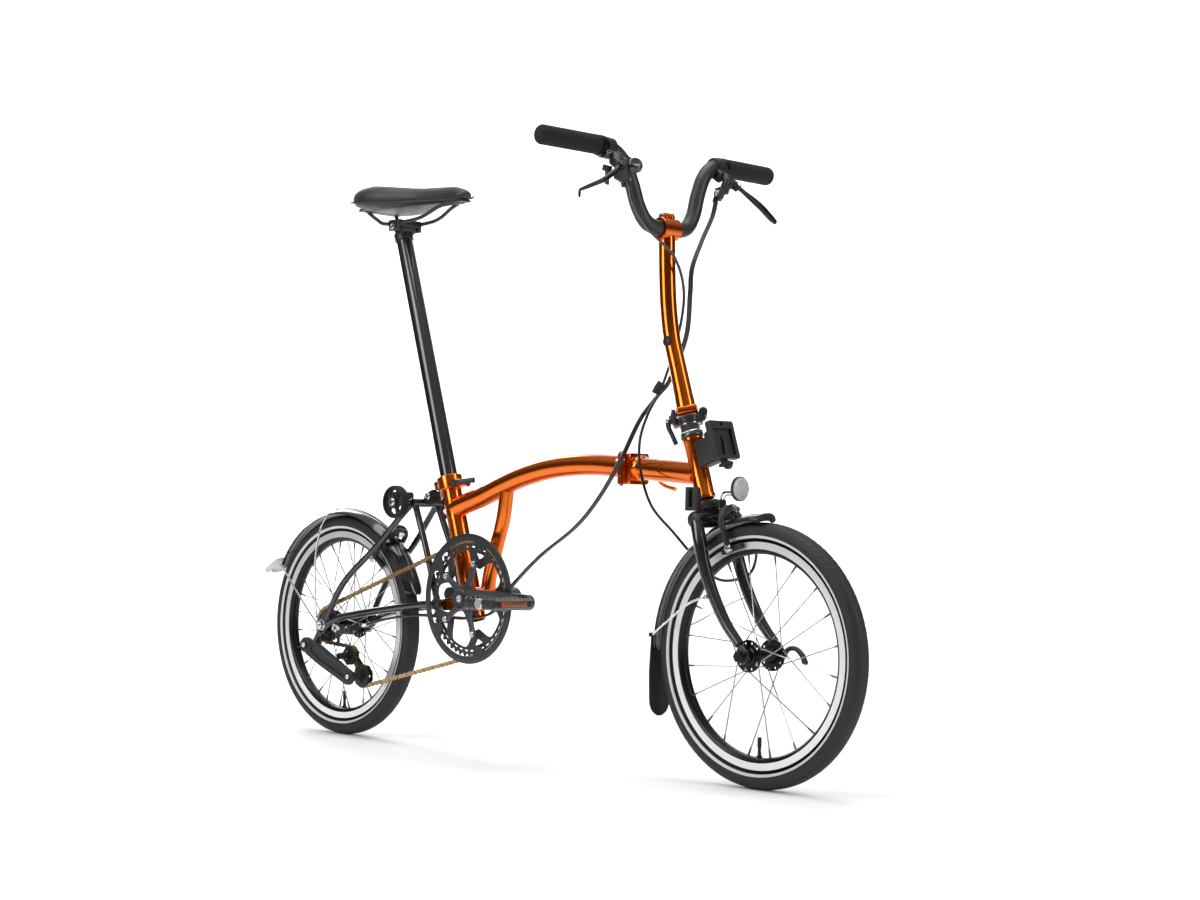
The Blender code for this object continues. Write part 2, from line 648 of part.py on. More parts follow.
def make_front_reflector():
    lens = cylinder(at(994, 0, 468), at(1003, 0, 469.5), 20.0, 20)
    holder = box(at(992, 0, 468), (5.0, 26.0, 26.0))
    wire = tube(smooth([at(957, 0, 450), at(962, 0, 461), at(973, 0, 463), at(993, 0, 462)], 2), 2.2,
                resolution=1)
    foot = box(at(958, 0, 444), (11.0, 16.0, 16.0))
    return solid("front_reflector", "clear_reflector", FORK, lens, [holder, wire, foot])


def make_handlebar_catch():
    foot = box(at(931, -36, 435.5), (24.0, 15.0, 6.0))
    blocks = [box(at(931 + shift, -37, 454), (8.0, 14.0, 34.0)) for shift in (-7.5, 7.5)]
    return solid("handlebar_catch", "black_plastic", FORK, foot, blocks)


make_fork()
make_front_mudguard()
make_front_axle()
make_quick_release_lever()
make_front_reflector()
make_handlebar_catch()


# ---- brake calipers ---------------------------------------------------------------------------
def make_brake_arm(name, axle, degrees, side, parent, stagger):
    """One arm of a caliper: from the bolt over the mudguard, out past the tyre and in to the rim."""
    tangent = Vector((-math.sin(math.radians(degrees)), 0, math.cos(math.radians(degrees))))
    shift = tangent * stagger * MM
    place = body(name, on_wheel(axle, BRAKE_BOLT_R, degrees, 0) + shift)
    place.parent = parent
    place.matrix_parent_inverse = parent.matrix_world.inverted()
    route = [(BRAKE_BOLT_R, -side * 16), (BRAKE_BOLT_R + 1, 0), (BRAKE_BOLT_R - 2, side * 16),
             (BRAKE_BOLT_R - 14, side * 29), (206, side * 31), (186, side * 29), (172, side * 27)]
    arm = tube(smooth([on_wheel(axle, r, degrees, y) + shift for r, y in route], 2), 4.6)
    pad_middle = on_wheel(axle, 171.5, degrees, side * 17.5) + shift
    pad = box(pad_middle, (9.0, 7.0, 46.0), turn_to(tangent))
    shoe = cylinder(on_wheel(axle, 171.5, degrees, side * 19) + shift,
                    on_wheel(axle, 171.5, degrees, side * 33) + shift, 4.0, 12)
    return solid(name, "black_alloy", place, arm, [pad, shoe])


for side_name, side in (("left", 1), ("right", -1)):
    make_brake_arm("front_brake_%s_arm" % side_name, FRONT_AXLE, FRONT_BRAKE_DEG, side, FORK,
                   side * 5.2)
    make_brake_arm("rear_brake_%s_arm" % side_name, REAR_AXLE, REAR_BRAKE_DEG, side, REAR_FRAME,
                   side * 5.2)


# ---- rear frame -------------------------------------------------------------------------------
CHAINSTAY = [(303, 258, 31), (270, 257, 31.5), (200, 249, 32), (120, 238, 32), (80, 231, 41),
             (48, 224, 51), (14, 212, 54)]
SEATSTAY = [(12, 222, 54), (40, 268, 53), (73, 305, 50), (146, 362, 43), (194, 409, 36), (226, 439, 30)]
FRONT_STAY = [(234, 434, 27), (254, 392, 29), (274, 347, 31), (303, 266, 31)]


def make_rear_triangle():
    base = across(232, 441, -34, 34, 8.0)
    pieces = [across(ROLLER[0], ROLLER[1], -75, 75, 4.0, 12), across(262, 257, -32, 32, 6.0)]
    pieces.append(box(at(226, 0, 442), (22.0, 58.0, 12.0)))
    for side in (-1, 1):
        for route, radius in ((CHAINSTAY, 7.0), (SEATSTAY, 6.0), (FRONT_STAY, 6.0)):
            pieces.append(tube([at(x, side * y, z) for x, z, y in route], radius))
        pieces.append(across(PIVOT[0], PIVOT[1], side * 23.2, side * 35.5, 11.0, 12))
        pieces.append(box(at(4, side * 54, 211), (34.0, 6.0, 40.0)))
    pieces.append(box(at(-15, -54, 187), (16.0, 6.0, 56.0), Matrix.Rotation(math.radians(30), 4, "Y")))
    pieces.append(across(TENSIONER[0], TENSIONER[1], -69.5, -52, 6.0, 12))
    cuts = [
        across(REAR_AXLE[0], REAR_AXLE[1], -70, 70, bore_radius(AXLE_R, 16)),
        across(PIVOT[0], PIVOT[1], -50, 50, bore_radius(5.0, 16)),
    ]
    return solid("rear_triangle", "black_enamel", REAR_FRAME, base, pieces, cuts)


def make_suspension_block():
    start = at(238, 0, 447)
    end = at(256, 0, 454)
    block = cone(start, end, 10.0, 13.0)
    bolt = cylinder(at(252, -17, 453), at(252, 17, 453), 3.5, 12)
    root = across(232, 441, -40, 40, bore_radius(8.0, 16))
    plate_cut = box(at(226, 0, 442), (22.0 + 2 * GAP, 60.0, 12.0 + 2 * GAP))
    return solid("suspension_block", "black_rubber", REAR_FRAME, block, [bolt], [root, plate_cut])


def make_rear_mudguard():
    guard = mudguard(REAR_AXLE, 17.0, 152.0, 26)
    flap = box(at(-216, 0, 316), (60.0, 30.0, 2.4), Matrix.Rotation(math.radians(3), 4, "Y"))
    stays = []
    for side in (-1, 1):
        route = [at(-14, side * 61, 214), at(-60, side * 50, 240), at(-130, side * 34, 284),
                 at(-182, side * 23, 320), at(-192, side * 12, 318)]
        stays.append(tube(smooth(route, 2), 1.8, resolution=1))
    return solid("rear_mudguard", "black_enamel", REAR_FRAME, guard, [flap] + stays)


def make_rear_reflector():
    lens = box(at(160, 0, 448), (9.0, 52.0, 26.0))
    holder = box(at(172, 0, 440), (18.0, 30.0, 8.0))
    neck = box(at(190, 0, 440), (24.0, 14.0, 5.0))
    return solid("rear_reflector", "red_reflector", REAR_FRAME, lens, [holder, neck])


def make_rear_axle():
    rod = across(REAR_AXLE[0], REAR_AXLE[1], -70, 68, AXLE_R)
    nuts = [across(REAR_AXLE[0], REAR_AXLE[1], -66, -57.4, 9.0, 12),
            across(REAR_AXLE[0], REAR_AXLE[1], 57.4, 66, 9.0, 12)]
    return solid("rear_axle", "silver_alloy", REAR_FRAME, rod, nuts)


def make_roller(name, side):
    place = body(name, at(ROLLER[0], side * 60, ROLLER[1]))
    bore = bore_radius(4.0, 12)
    section = [(30, 8), (30, -8), (26, -7), (22, -4), (9, -4), (9, -8), (bore, -8), (bore, 8), (9, 8), (9, 4),
               (22, 4), (26, 7)]
    wheel = turned(section, at(ROLLER[0], side * 62, ROLLER[1]), Y_AXIS, 16)
    return solid(name, "black_plastic", place, wheel)


def make_tensioner():
    plate_outline = [(-36, 176), (-31, 183), (-20, 184), (20, 168), (104, 134), (118, 127), (122, 116),
                     (114, 106), (102, 104), (20, 134), (-24, 154), (-34, 162)]
    arm = plate(plate_outline, -78, -70)
    lower_pin = across(LOWER_IDLER[0], LOWER_IDLER[1], -74, -33, 4.0, 12)
    bridge = plate([(48, 152), (60, 164), (80, 162), (90, 136), (60, 140)], -72, -69)
    upper_pin = across(UPPER_IDLER[0], UPPER_IDLER[1], -71, -33, 4.0, 12)
    bolt = across(TENSIONER[0], TENSIONER[1], -82, -76, 8.0, 12)
    return solid("tensioner_arm", "black_plastic", TENSIONER_BODY, arm,
                 [lower_pin, bridge, upper_pin, bolt])


def make_idler(name, place_xz, pitch):
    bore = bore_radius(4.0, 12)
    rim_r = pitch - CHAIN_R - GAP - 0.3
    section = [(rim_r, 3), (rim_r, -3), (8, -3), (8, -7), (bore, -7), (bore, 7), (8, 7), (8, 3)]
    place = body(name, at(place_xz[0], CHAIN_Y, place_xz[1]))
    wheel = turned(section, at(place_xz[0], CHAIN_Y, place_xz[1]), Y_AXIS, 16)
    return solid(name, "black_plastic", place, wheel)


def make_chain_pusher():
    place = body("chain_pusher", at(70, -47, 196))
    body_box = box(at(72, -60, 203), (46.0, 8.0, 18.0), Matrix.Rotation(math.radians(6), 4, "Y"))
    arm = tube(smooth([at(58, -60, 200), at(50, -58, 190), at(42, -50, 180), at(36, -49, 174)], 1), 3.0,
               resolution=1)
    return solid("chain_pusher", "black_plastic", place, body_box, [arm])


make_rear_triangle()
make_suspension_block()
make_rear_mudguard()
make_rear_reflector()
make_rear_axle()
make_roller("left_roller", 1)
make_roller("right_roller", -1)
make_tensioner()
LOWER_PITCH = 19.0
UPPER_PITCH = 16.0
make_idler("lower_idler", LOWER_IDLER, LOWER_PITCH)
make_idler("upper_idler", UPPER_IDLER, UPPER_PITCH)
make_chain_pusher()


# ---- drive ------------------------------------------------------------------------------------
def make_sprockets():
    big = SPROCKET_R - CHAIN_R - GAP - 0.3
    bore = bore_radius(12.0, 16)
    section = [(bore, 5.4), (24, 5.4), (24, 3.2), (17, 3.2), (17, 1.4), (big, 1.4), (big, -1.4), (15.5, -1.4),
               (15.5, -4.6), (bore, -4.6)]
    wheel = turned(section, at(REAR_AXLE[0], CHAIN_Y, REAR_AXLE[1]), Y_AXIS, 24)
    return solid("rear_sprockets", "chain_steel", SPROCKETS, wheel)


def make_chainring():
    outer = circle(BRACKET[0], BRACKET[1], CHAINRING_R - CHAIN_R - GAP - 0.3, 40)
    inner = circle(BRACKET[0], BRACKET[1], 86.0, 40)[::-1]
    ring = plate(outer, CHAIN_Y - 1.3, CHAIN_Y + 1.3, [inner])
    tabs = []
    for i in range(5):
        angle = math.radians(72 * i)
        outward = Vector((math.cos(angle), 0, math.sin(angle)))
        middle = at(BRACKET[0], CHAIN_Y, BRACKET[1]) + outward * 0.074
        tabs.append(box(middle, (18.0, 2.6, 32.0), turn_to(outward)))
    return solid("chainring", "black_alloy", CRANKS, ring, tabs)


def make_chain_guard():
    outer = circle(BRACKET[0], BRACKET[1], GUARD_R, 40)
    inner = circle(BRACKET[0], BRACKET[1], 101.5, 40)[::-1]
    ring = plate(outer, -47.4, -45.0, [inner])
    tabs = []
    for i in range(5):
        angle = math.radians(72 * i)
        outward = Vector((math.cos(angle), 0, math.sin(angle)))
        middle = at(BRACKET[0], -46.2, BRACKET[1]) + outward * 0.082
        tabs.append(box(middle, (20.0, 2.4, 44.0), turn_to(outward)))
    return solid("chain_guard", "black_alloy", CRANKS, ring, tabs)


def crank_arm(direction, y_in, y_out):
    """A crank arm from the spindle to the pedal, tapered towards the pedal."""
    side = 1 if direction > 0 else -1
    x0, z0 = BRACKET
    end = x0 + side * CRANK_LENGTH
    outline = [(x0 - side * 10, z0 + 15), (x0 + side * 10, z0 + 15), (x0 + side * 60, z0 + 12),
               (end - side * 20, z0 + 10.5), (end, z0 + 14), (end + side * 12, z0 + 9), (end + side * 15, z0),
               (end + side * 12, z0 - 9), (end, z0 - 14), (end - side * 20, z0 - 10.5),
               (x0 + side * 60, z0 - 12), (x0 + side * 10, z0 - 15), (x0 - side * 10, z0 - 15),
               (x0 - side * 17, z0)]
    if side > 0:
        outline.reverse()
    return plate(outline, y_in, y_out)


def make_right_crank():
    arm = crank_arm(1, -66.5, -54.5)
    boss = across(BRACKET[0], BRACKET[1], -68, -39, 18.0)
    pieces = [boss]
    for i in range(5):
        angle = math.radians(72 * i)
        outward = Vector((math.cos(angle), 0, math.sin(angle)))
        middle = at(BRACKET[0], -50.6, BRACKET[1]) + outward * 0.039
        pieces.append(box(middle, (15.0, 6.0, 62.0), turn_to(outward)))
        bolt = at(BRACKET[0], 0, BRACKET[1]) + outward * 0.065
        pieces.append(cylinder(bolt + Vector((0, -0.0555, 0)), bolt + Vector((0, -0.049, 0)), 6.5, 10))
    cuts = [across(BRACKET[0], BRACKET[1], -66, 0, bore_radius(SPINDLE_R, 16)),
            across(BRACKET[0] + CRANK_LENGTH, BRACKET[1], -80, -30, bore_radius(5.0, 12), 12)]
    return solid("right_crank", "grey_crank", CRANKS, arm, pieces, cuts)


def make_left_crank():
    arm = crank_arm(-1, 54.5, 66.5)
    boss = across(BRACKET[0], BRACKET[1], 39, 68, 18.0)
    cuts = [across(BRACKET[0], BRACKET[1], 0, 66, bore_radius(SPINDLE_R, 16)),
            across(BRACKET[0] - CRANK_LENGTH, BRACKET[1], 30, 90, bore_radius(5.0, 12), 12)]
    return solid("left_crank", "grey_crank", CRANKS, arm, [boss], cuts)


def pedal_body(x, z, side, y_near, y_far, half_length, half_height):
    """A pedal cage: a block with two windows beside its middle."""
    middle = (y_near + y_far) / 2 * side
    width = y_far - y_near
    cage = box(at(x, middle, z), (2 * half_length, width, 2 * half_height))
    windows = [box(at(x + end * half_length * 0.56, middle, z),
                   (half_length * 0.56, width - 24.0, 4 * half_height)) for end in (-1, 1)]
    return cage, windows


def make_right_pedal():
    x = BRACKET[0] + CRANK_LENGTH
    place = body("right_pedal", at(x, -CRANK_Y, BRACKET[1]))
    axle = across(x, BRACKET[1], -160, -57, 5.0, 12)
    cage, windows = pedal_body(x, BRACKET[1], -1, 80, 172, 40.0, 11.0)
    return solid("right_pedal", "black_plastic", place, cage, [axle], windows)


LEFT_PEDAL_PIN = (87.0, BRACKET[1] - 14.0)     # folding axis, y and z


def make_left_pedal():
    x = BRACKET[0] - CRANK_LENGTH
    pin_y, pin_z = LEFT_PEDAL_PIN
    spin = body("left_pedal_hinge", at(x, CRANK_Y, BRACKET[1]))
    fold = body("left_pedal", at(x, pin_y, pin_z))

    def along_pin(start, end, radius):
        return cylinder(at(x + start, pin_y, pin_z), at(x + end, pin_y, pin_z), radius, 12)

    axle = across(x, BRACKET[1], 57, 80, 5.0, 12)
    block = box(at(x, 77.5, BRACKET[1]), (26.0, 17.0, 20.0))
    ear = along_pin(-6, 6, 4.4)
    ear_link = box(at(x, 80, BRACKET[1] - 10), (12.0, 8.0, 16.0))
    pin_hole = along_pin(-30, 30, bore_radius(2.0, 12))
    solid("left_pedal_hinge", "silver_alloy", spin, axle, [block, ear_link, ear], [pin_hole])
    cage, windows = pedal_body(x, BRACKET[1], 1, 92, 172, 40.0, 11.0)
    knuckles = []
    for end in (-1, 1):
        knuckles.append(along_pin(end * 6.5, end * 15, 3.8))
        knuckles.append(box(at(x + end * 11, 91, BRACKET[1] - 12), (8.0, 8.0, 6.0)))
    pin = along_pin(-12, 12, 2.0)
    return solid("left_pedal", "black_plastic", fold, cage, knuckles + [pin], windows)


def belt_points(circles, y, arc_step):
    """Points of a loop that runs round circles of (x, z, radius, turn), turn being 1 or -1."""
    count = len(circles)
    legs = []
    for i in range(count):
        x1, z1, r1, k1 = circles[i]
        x2, z2, r2, k2 = circles[(i + 1) % count]
        gap = Vector((x2 - x1, z2 - z1))
        offset = k2 * r2 - k1 * r1
        run = math.sqrt(gap.length_squared - offset ** 2)
        heading = math.atan2(gap.y, gap.x) - math.atan2(offset, run)
        normal = Vector((-math.sin(heading), math.cos(heading)))
        legs.append((Vector((x1, z1)) - k1 * r1 * normal, Vector((x2, z2)) - k2 * r2 * normal))
    points = []
    for i in range(count):
        x, z, radius, k = circles[i]
        arrive = legs[i - 1][1] - Vector((x, z))
        leave = legs[i][0] - Vector((x, z))
        start = math.atan2(arrive.y, arrive.x)
        sweep = (math.atan2(leave.y, leave.x) - start) * k % (2 * math.pi)
        steps = max(3, round(sweep / arc_step * (2.0 if radius > 50 else 1.0)))
        for step in range(steps + 1):
            angle = start + k * sweep * step / steps
            points.append(at(x + radius * math.cos(angle), y, z + radius * math.sin(angle)))
        start_leg, end_leg = legs[i]
        if (end_leg - start_leg).length > 100:
            for part in (1 / 3, 2 / 3):
                middle = start_leg.lerp(end_leg, part)
                points.append(at(middle.x, y, middle.y))
    return points


def make_chain():
    circles = [(BRACKET[0], BRACKET[1], CHAINRING_R, 1), (REAR_AXLE[0], REAR_AXLE[1], SPROCKET_R, 1),
               (UPPER_IDLER[0], UPPER_IDLER[1], UPPER_PITCH, -1),
               (LOWER_IDLER[0], LOWER_IDLER[1], LOWER_PITCH, 1)]
    points = belt_points(circles, CHAIN_Y, math.radians(20))
    return solid("chain", "chain_steel", MAIN_FRAME, tube(points, CHAIN_R, cyclic=True, resolution=0))


make_sprockets()
make_chainring()
make_chain_guard()
make_right_crank()
make_left_crank()
solid("crank_spindle", "silver_alloy", CRANKS, across(BRACKET[0], BRACKET[1], -65.6, 65.6, SPINDLE_R))
make_right_pedal()
make_left_pedal()
make_chain()


# ---- seat -------------------------------------------------------------------------------------
def make_seat_post():
    post = seat_axis_rod(POST_BOTTOM_Z, POST_TOP_Z, POST_R)
    yoke = across(156, 955, -17, 17, 15.0)
    yoke_plate = box(at(156, 0, 961), (34.0, 58.0, 14.0))
    cuts = [rail_tube(bore_radius(3.5, 8))]
    return solid("seat_post", "black_enamel", SEAT, post, [yoke, yoke_plate], cuts)


RAIL = [(88, 986, 34), (104, 972, 26), (126, 962, 22), (190, 962, 22), (230, 967, 20), (270, 982, 15),
        (296, 987, 8)]


def rail_tube(radius):
    left = [at(x, y, z) for x, z, y in RAIL]
    right = [at(x, -y, z) for x, z, y in reversed(RAIL)]
    return tube(smooth(left + right, 2), radius)


def make_saddle():
    """The saddle's cage: rings of eight points from the tail to the nose, then one subdivision."""
    stations = [(60, 44, 1006, 1024), (74, 68, 996, 1032), (120, 76, 992, 1036), (170, 60, 992, 1032),
                (220, 34, 992, 1024), (280, 22, 991, 1017), (326, 18, 992, 1012), (340, 11, 996, 1006)]
    rings = []
    for x, half, low, high in stations:
        middle = (low + high) / 2
        rings.append([at(x, -half, middle), at(x, -half * 0.80, high - 3), at(x, 0, high),
                      at(x, half * 0.80, high - 3), at(x, half, middle), at(x, half * 0.80, low + 2),
                      at(x, 0, low + 2), at(x, -half * 0.80, low + 2)])
    shape = loft(rings)
    soft = shape.modifiers.new("Subdivision", "SUBSURF")
    soft.levels = 1
    soft.render_levels = 1
    return solid("saddle", "saddle_cover", SEAT, shape)


make_seat_post()
solid("saddle_rails", "black_enamel", SEAT, rail_tube(3.5))
make_saddle()


# ---- stem and handlebar -----------------------------------------------------------------------
STEM_ROUTE = [(880.6, 594), (875, 615), (860, 665), (845, 715), (837, 765), (833, 820), (831, 884)]
BAR_MIDDLE = (831.0, 894.0)
BAR_HALF = [(831, 0, 894), (831, 22, 894), (830, 48, 901), (828, 66, 925), (826, 78, 958),
            (824, 94, 990), (821, 118, 1010), (818, 150, 1015), (815, 210, 1016), (813, 268, 1016)]


def make_stem():
    route = smooth([at(x, 0, z) for x, z in STEM_ROUTE], 2)
    foot = box(on_head_axis(593.0), (STEM_PLATE, 34.6, 14.4), stem_turn())
    clamp = across(BAR_MIDDLE[0], BAR_MIDDLE[1], -19, 19, 18.5)
    lug = box(at(BAR_MIDDLE[0], 0, BAR_MIDDLE[1] + 20), (16.0, 22.0, 12.0))
    pieces = [foot, clamp, lug]
    line = STEM_FOLD_AXIS * MM
    for end in (-1, 1):
        pieces += stem_knuckle(end * 12.2, 8.4, 1)
    pieces.append(cylinder(STEM_PIN - line * 15, STEM_PIN + line * 15, 3.0, 12))
    cuts = [across(BAR_MIDDLE[0], BAR_MIDDLE[1], -40, 40, bore_radius(BAR_R, 16))]
    return solid("stem", "orange_lacquer", STEM, tube(route, STEM_R), pieces, cuts)


def make_stem_clamp():
    middle = on_head_axis(STEM_BASE_Z) - STEM_SIDE * (STEM_PLATE / 2 + 4.0) * MM
    place = body("stem_clamp", middle)
    plate_box = box(middle, (7.0, 26.0, 24.0), stem_turn())
    bolt = cylinder(middle, middle - STEM_SIDE * 0.014, 6.0, 12)
    down = -HEAD_UP * MM
    out = -STEM_SIDE * MM
    handle = tube(smooth([middle + out * 10, middle + out * 12 + down * 12, middle + out * 9 + down * 26,
                          middle + out * 6 + down * 42], 2), 4.4)
    return solid("stem_clamp", "black_plastic", place, plate_box, [bolt, handle])


def bar_line(beyond=0.0):
    """The handlebar's middle line from right to left, its ends drawn out by some millimetres."""
    left = [at(x, y, z) for x, y, z in BAR_HALF]
    right = [at(x, -y, z) for x, y, z in reversed(BAR_HALF[1:])]
    points = smooth(right + left, 2)
    points[0].y -= beyond * MM
    points[-1].y += beyond * MM
    return points


def make_handlebar():
    bar = tube(bar_line(), BAR_R)
    pieces = []
    for side in (-1, 1):
        pieces.append(across(819, 1012, side * 124, side * 145, 18.0, 12))
        drop = Matrix.Rotation(math.radians(35), 4, "Y")
        pieces.append(box(at(836, side * 128, 997), (34.0, 22.0, 20.0), drop))
    return solid("handlebar", "black_enamel", STEM, bar, pieces)


def make_grip(name, side):
    body_rod = cylinder(at(818.2, side * GRIP_FROM, 1015.2), at(812.7, side * GRIP_TO, 1016.2), GRIP_R)
    return solid(name, "black_rubber", STEM, body_rod, cut=[tube(bar_line(GAP), BAR_R + 0.5)])


LEVER_PIVOT = (860.0, 137.0, 978.0)


def make_brake_lever(name, side):
    x, y, z = LEVER_PIVOT
    place = body(name, at(x, side * y, z))
    offsets = [(0, 2, 0), (6, 24, -14), (10, 52, -30), (6, 78, -42), (4, 96, -50)]
    route = [at(x + dx, side * (y + dy), z + dz) for dx, dy, dz in offsets]
    blade = tube(smooth(route, 2), 5.0)
    return solid(name, "black_alloy", place, blade)


def make_gear_trigger():
    place = body("gear_trigger", at(822, -130, 979))
    base = cylinder(at(822, -130, 984), at(819, -130, 975), 8.0, 12)
    paddle = tube(smooth([at(820, -130, 979), at(812, -122, 968), at(806, -116, 958)], 2), 4.0)
    return solid("gear_trigger", "black_plastic", place, base, [paddle])


make_stem()
make_stem_clamp()
make_handlebar()
make_grip("left_grip", 1)
make_grip("right_grip", -1)
make_brake_lever("left_brake_lever", 1)
make_brake_lever("right_brake_lever", -1)
make_gear_trigger()


# ---- cables -----------------------------------------------------------------------------------
FRONT_CABLE = [(847, -110, 974), (858, -106, 920), (850, -60, 884), (858, -10, 845), (855, 17, 790),
               (838, 23, 720), (815, 17, 650), (808, 8, 622), (805, -12, 590), (808, -33, 547),
               (816, -39, 498), (833, -30, 440), (852, 4, 396), (872, 32, 358), (915, 45, 322),
               (965, 58, 330), (990, 50, 362), (988, 42, 396)]
REAR_CABLE = [(842, 108, 974), (836, 104, 930), (850, 62, 880), (862, 26, 830), (860, 24, 786),
              (845, 32, 718), (813, 28, 648), (798, 14, 620), (790, -18, 580), (770, -43, 511),
              (722, -44, 450), (668, -44, 402), (581, -41, 352), (504, -33, 300), (448, -26, 252),
              (396, -29, 238), (330, -31, 236), (262, -32, 237), (196, -33, 231), (140, -36, 221),
              (104, -50, 209)]


def cable(name, route, parent, twin_shift=None):
    points = [at(*place) for place in route]
    first = tube(points, 2.5, resolution=1)
    if twin_shift is None:
        return solid(name, "black_plastic", parent, first)
    second = tube([point + twin_shift for point in points], 2.5, resolution=1)
    return solid(name, "black_plastic", parent, first, [second])


cable("front_brake_cable", FRONT_CABLE, STEM)
cable("rear_cables", REAR_CABLE, MAIN_FRAME, Vector((0.0012, 0.0040, 0.0011)))
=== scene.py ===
"""Looks of a folding bicycle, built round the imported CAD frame.

Places are written in millimetres from the point on the ground under the rear axle, as x forward,
y to the rider's left and z up, and at() turns them into the frame's metres.
"""
import math

import bmesh
import bpy
import numpy as np
from mathutils import Matrix, Vector


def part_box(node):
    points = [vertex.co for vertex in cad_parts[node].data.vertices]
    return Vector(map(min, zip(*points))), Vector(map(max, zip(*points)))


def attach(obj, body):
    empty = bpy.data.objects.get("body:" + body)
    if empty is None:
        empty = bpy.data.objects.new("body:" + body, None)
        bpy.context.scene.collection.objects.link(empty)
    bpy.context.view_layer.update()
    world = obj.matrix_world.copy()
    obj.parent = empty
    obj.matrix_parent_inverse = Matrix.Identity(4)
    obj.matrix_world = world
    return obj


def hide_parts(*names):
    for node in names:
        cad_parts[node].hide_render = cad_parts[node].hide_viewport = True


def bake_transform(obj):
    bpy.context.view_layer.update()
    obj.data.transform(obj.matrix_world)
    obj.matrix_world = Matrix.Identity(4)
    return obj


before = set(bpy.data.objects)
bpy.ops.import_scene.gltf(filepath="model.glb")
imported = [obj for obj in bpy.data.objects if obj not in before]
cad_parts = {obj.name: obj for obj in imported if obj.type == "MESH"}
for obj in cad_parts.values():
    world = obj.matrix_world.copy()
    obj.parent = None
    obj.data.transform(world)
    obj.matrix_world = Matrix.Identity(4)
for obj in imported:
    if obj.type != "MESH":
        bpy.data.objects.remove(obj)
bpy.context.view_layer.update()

# ---- driving dimensions, in millimetres -------------------------------------------------------
MM = 0.001
WHEEL_R = 208.0
REAR_AXLE = (0.0, WHEEL_R)
REAR_HUB_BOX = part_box("rear_hub")
MIDDLE_X = -(REAR_HUB_BOX[0].x + REAR_HUB_BOX[1].x) / 2 / MM
FRONT_HUB_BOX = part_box("front_hub")
WHEELBASE = (FRONT_HUB_BOX[0].x + FRONT_HUB_BOX[1].x) / 2 / MM + MIDDLE_X
FRONT_AXLE = (WHEELBASE, WHEEL_R)
BRACKET = (404.0, 273.0)
PIVOT = (305.0, 258.0)
CRANK_LENGTH = 170.0
CHAIN_Y = -41.0
CHAINRING_R = 101.0
SPROCKET_R = 33.0
LOWER_IDLER = (108.0, 118.0)
UPPER_IDLER = (70.0, 154.0)
LOWER_PITCH = 19.0
UPPER_PITCH = 16.0
TENSIONER = (-25.0, 170.0)
ROLLER = (219.0, 442.0)
SEAT_TAN = math.tan(math.radians(72.5))
SEAT_POINT = (295.0, 487.0)
HEAD_POINT = (901.0, 529.0)
HINGE_X = 762.0
HINGE_PIN_Y = -28.0
TUBE_SIDES = 32

X_AXIS = Vector((1.0, 0.0, 0.0))
Y_AXIS = Vector((0.0, 1.0, 0.0))
Z_AXIS = Vector((0.0, 0.0, 1.0))
HEAD_ANGLE = math.radians(72.5)
HEAD_UP = Vector((-math.cos(HEAD_ANGLE), 0.0, math.sin(HEAD_ANGLE)))
HEAD_FORWARD = Vector((math.sin(HEAD_ANGLE), 0.0, math.cos(HEAD_ANGLE)))
SEAT_UP = HEAD_UP
STEM_SIDE = (HEAD_FORWARD + Y_AXIS).normalized()
STEM_FOLD_AXIS = (Y_AXIS - HEAD_FORWARD).normalized()
STEM_BASE_Z = 585.0


def at(x, y, z):
    return Vector(((x - MIDDLE_X) * MM, y * MM, z * MM))


def on_axis(point, z, y=0.0):
    """A place at height z on an axis that leans back like the head tube and the seat tube."""
    return at(point[0] + (point[1] - z) / SEAT_TAN, y, z)


def on_seat(z, y=0.0):
    return on_axis(SEAT_POINT, z, y)


def on_head(z, y=0.0):
    return on_axis(HEAD_POINT, z, y)


def on_wheel(axle, radius, degrees, y=0.0):
    angle = math.radians(degrees)
    return at(axle[0] + radius * math.cos(angle), y, axle[1] + radius * math.sin(angle))


STEM_PIN = on_head(STEM_BASE_Z) + STEM_SIDE * 0.025


def turn_to(direction):
    return Z_AXIS.rotation_difference(Vector(direction).normalized()).to_matrix().to_4x4()


# ---- materials --------------------------------------------------------------------------------
def add_node(tree, kind, **settings):
    node = tree.nodes.new(kind)
    for name, value in settings.items():
        if hasattr(node, name):
            setattr(node, name, value)
        else:
            node.inputs[name.replace("_", " ")].default_value = value
    return node


def scaled(colour, factor):
    return tuple(min(1.0, c * factor) for c in colour) + (1.0,)


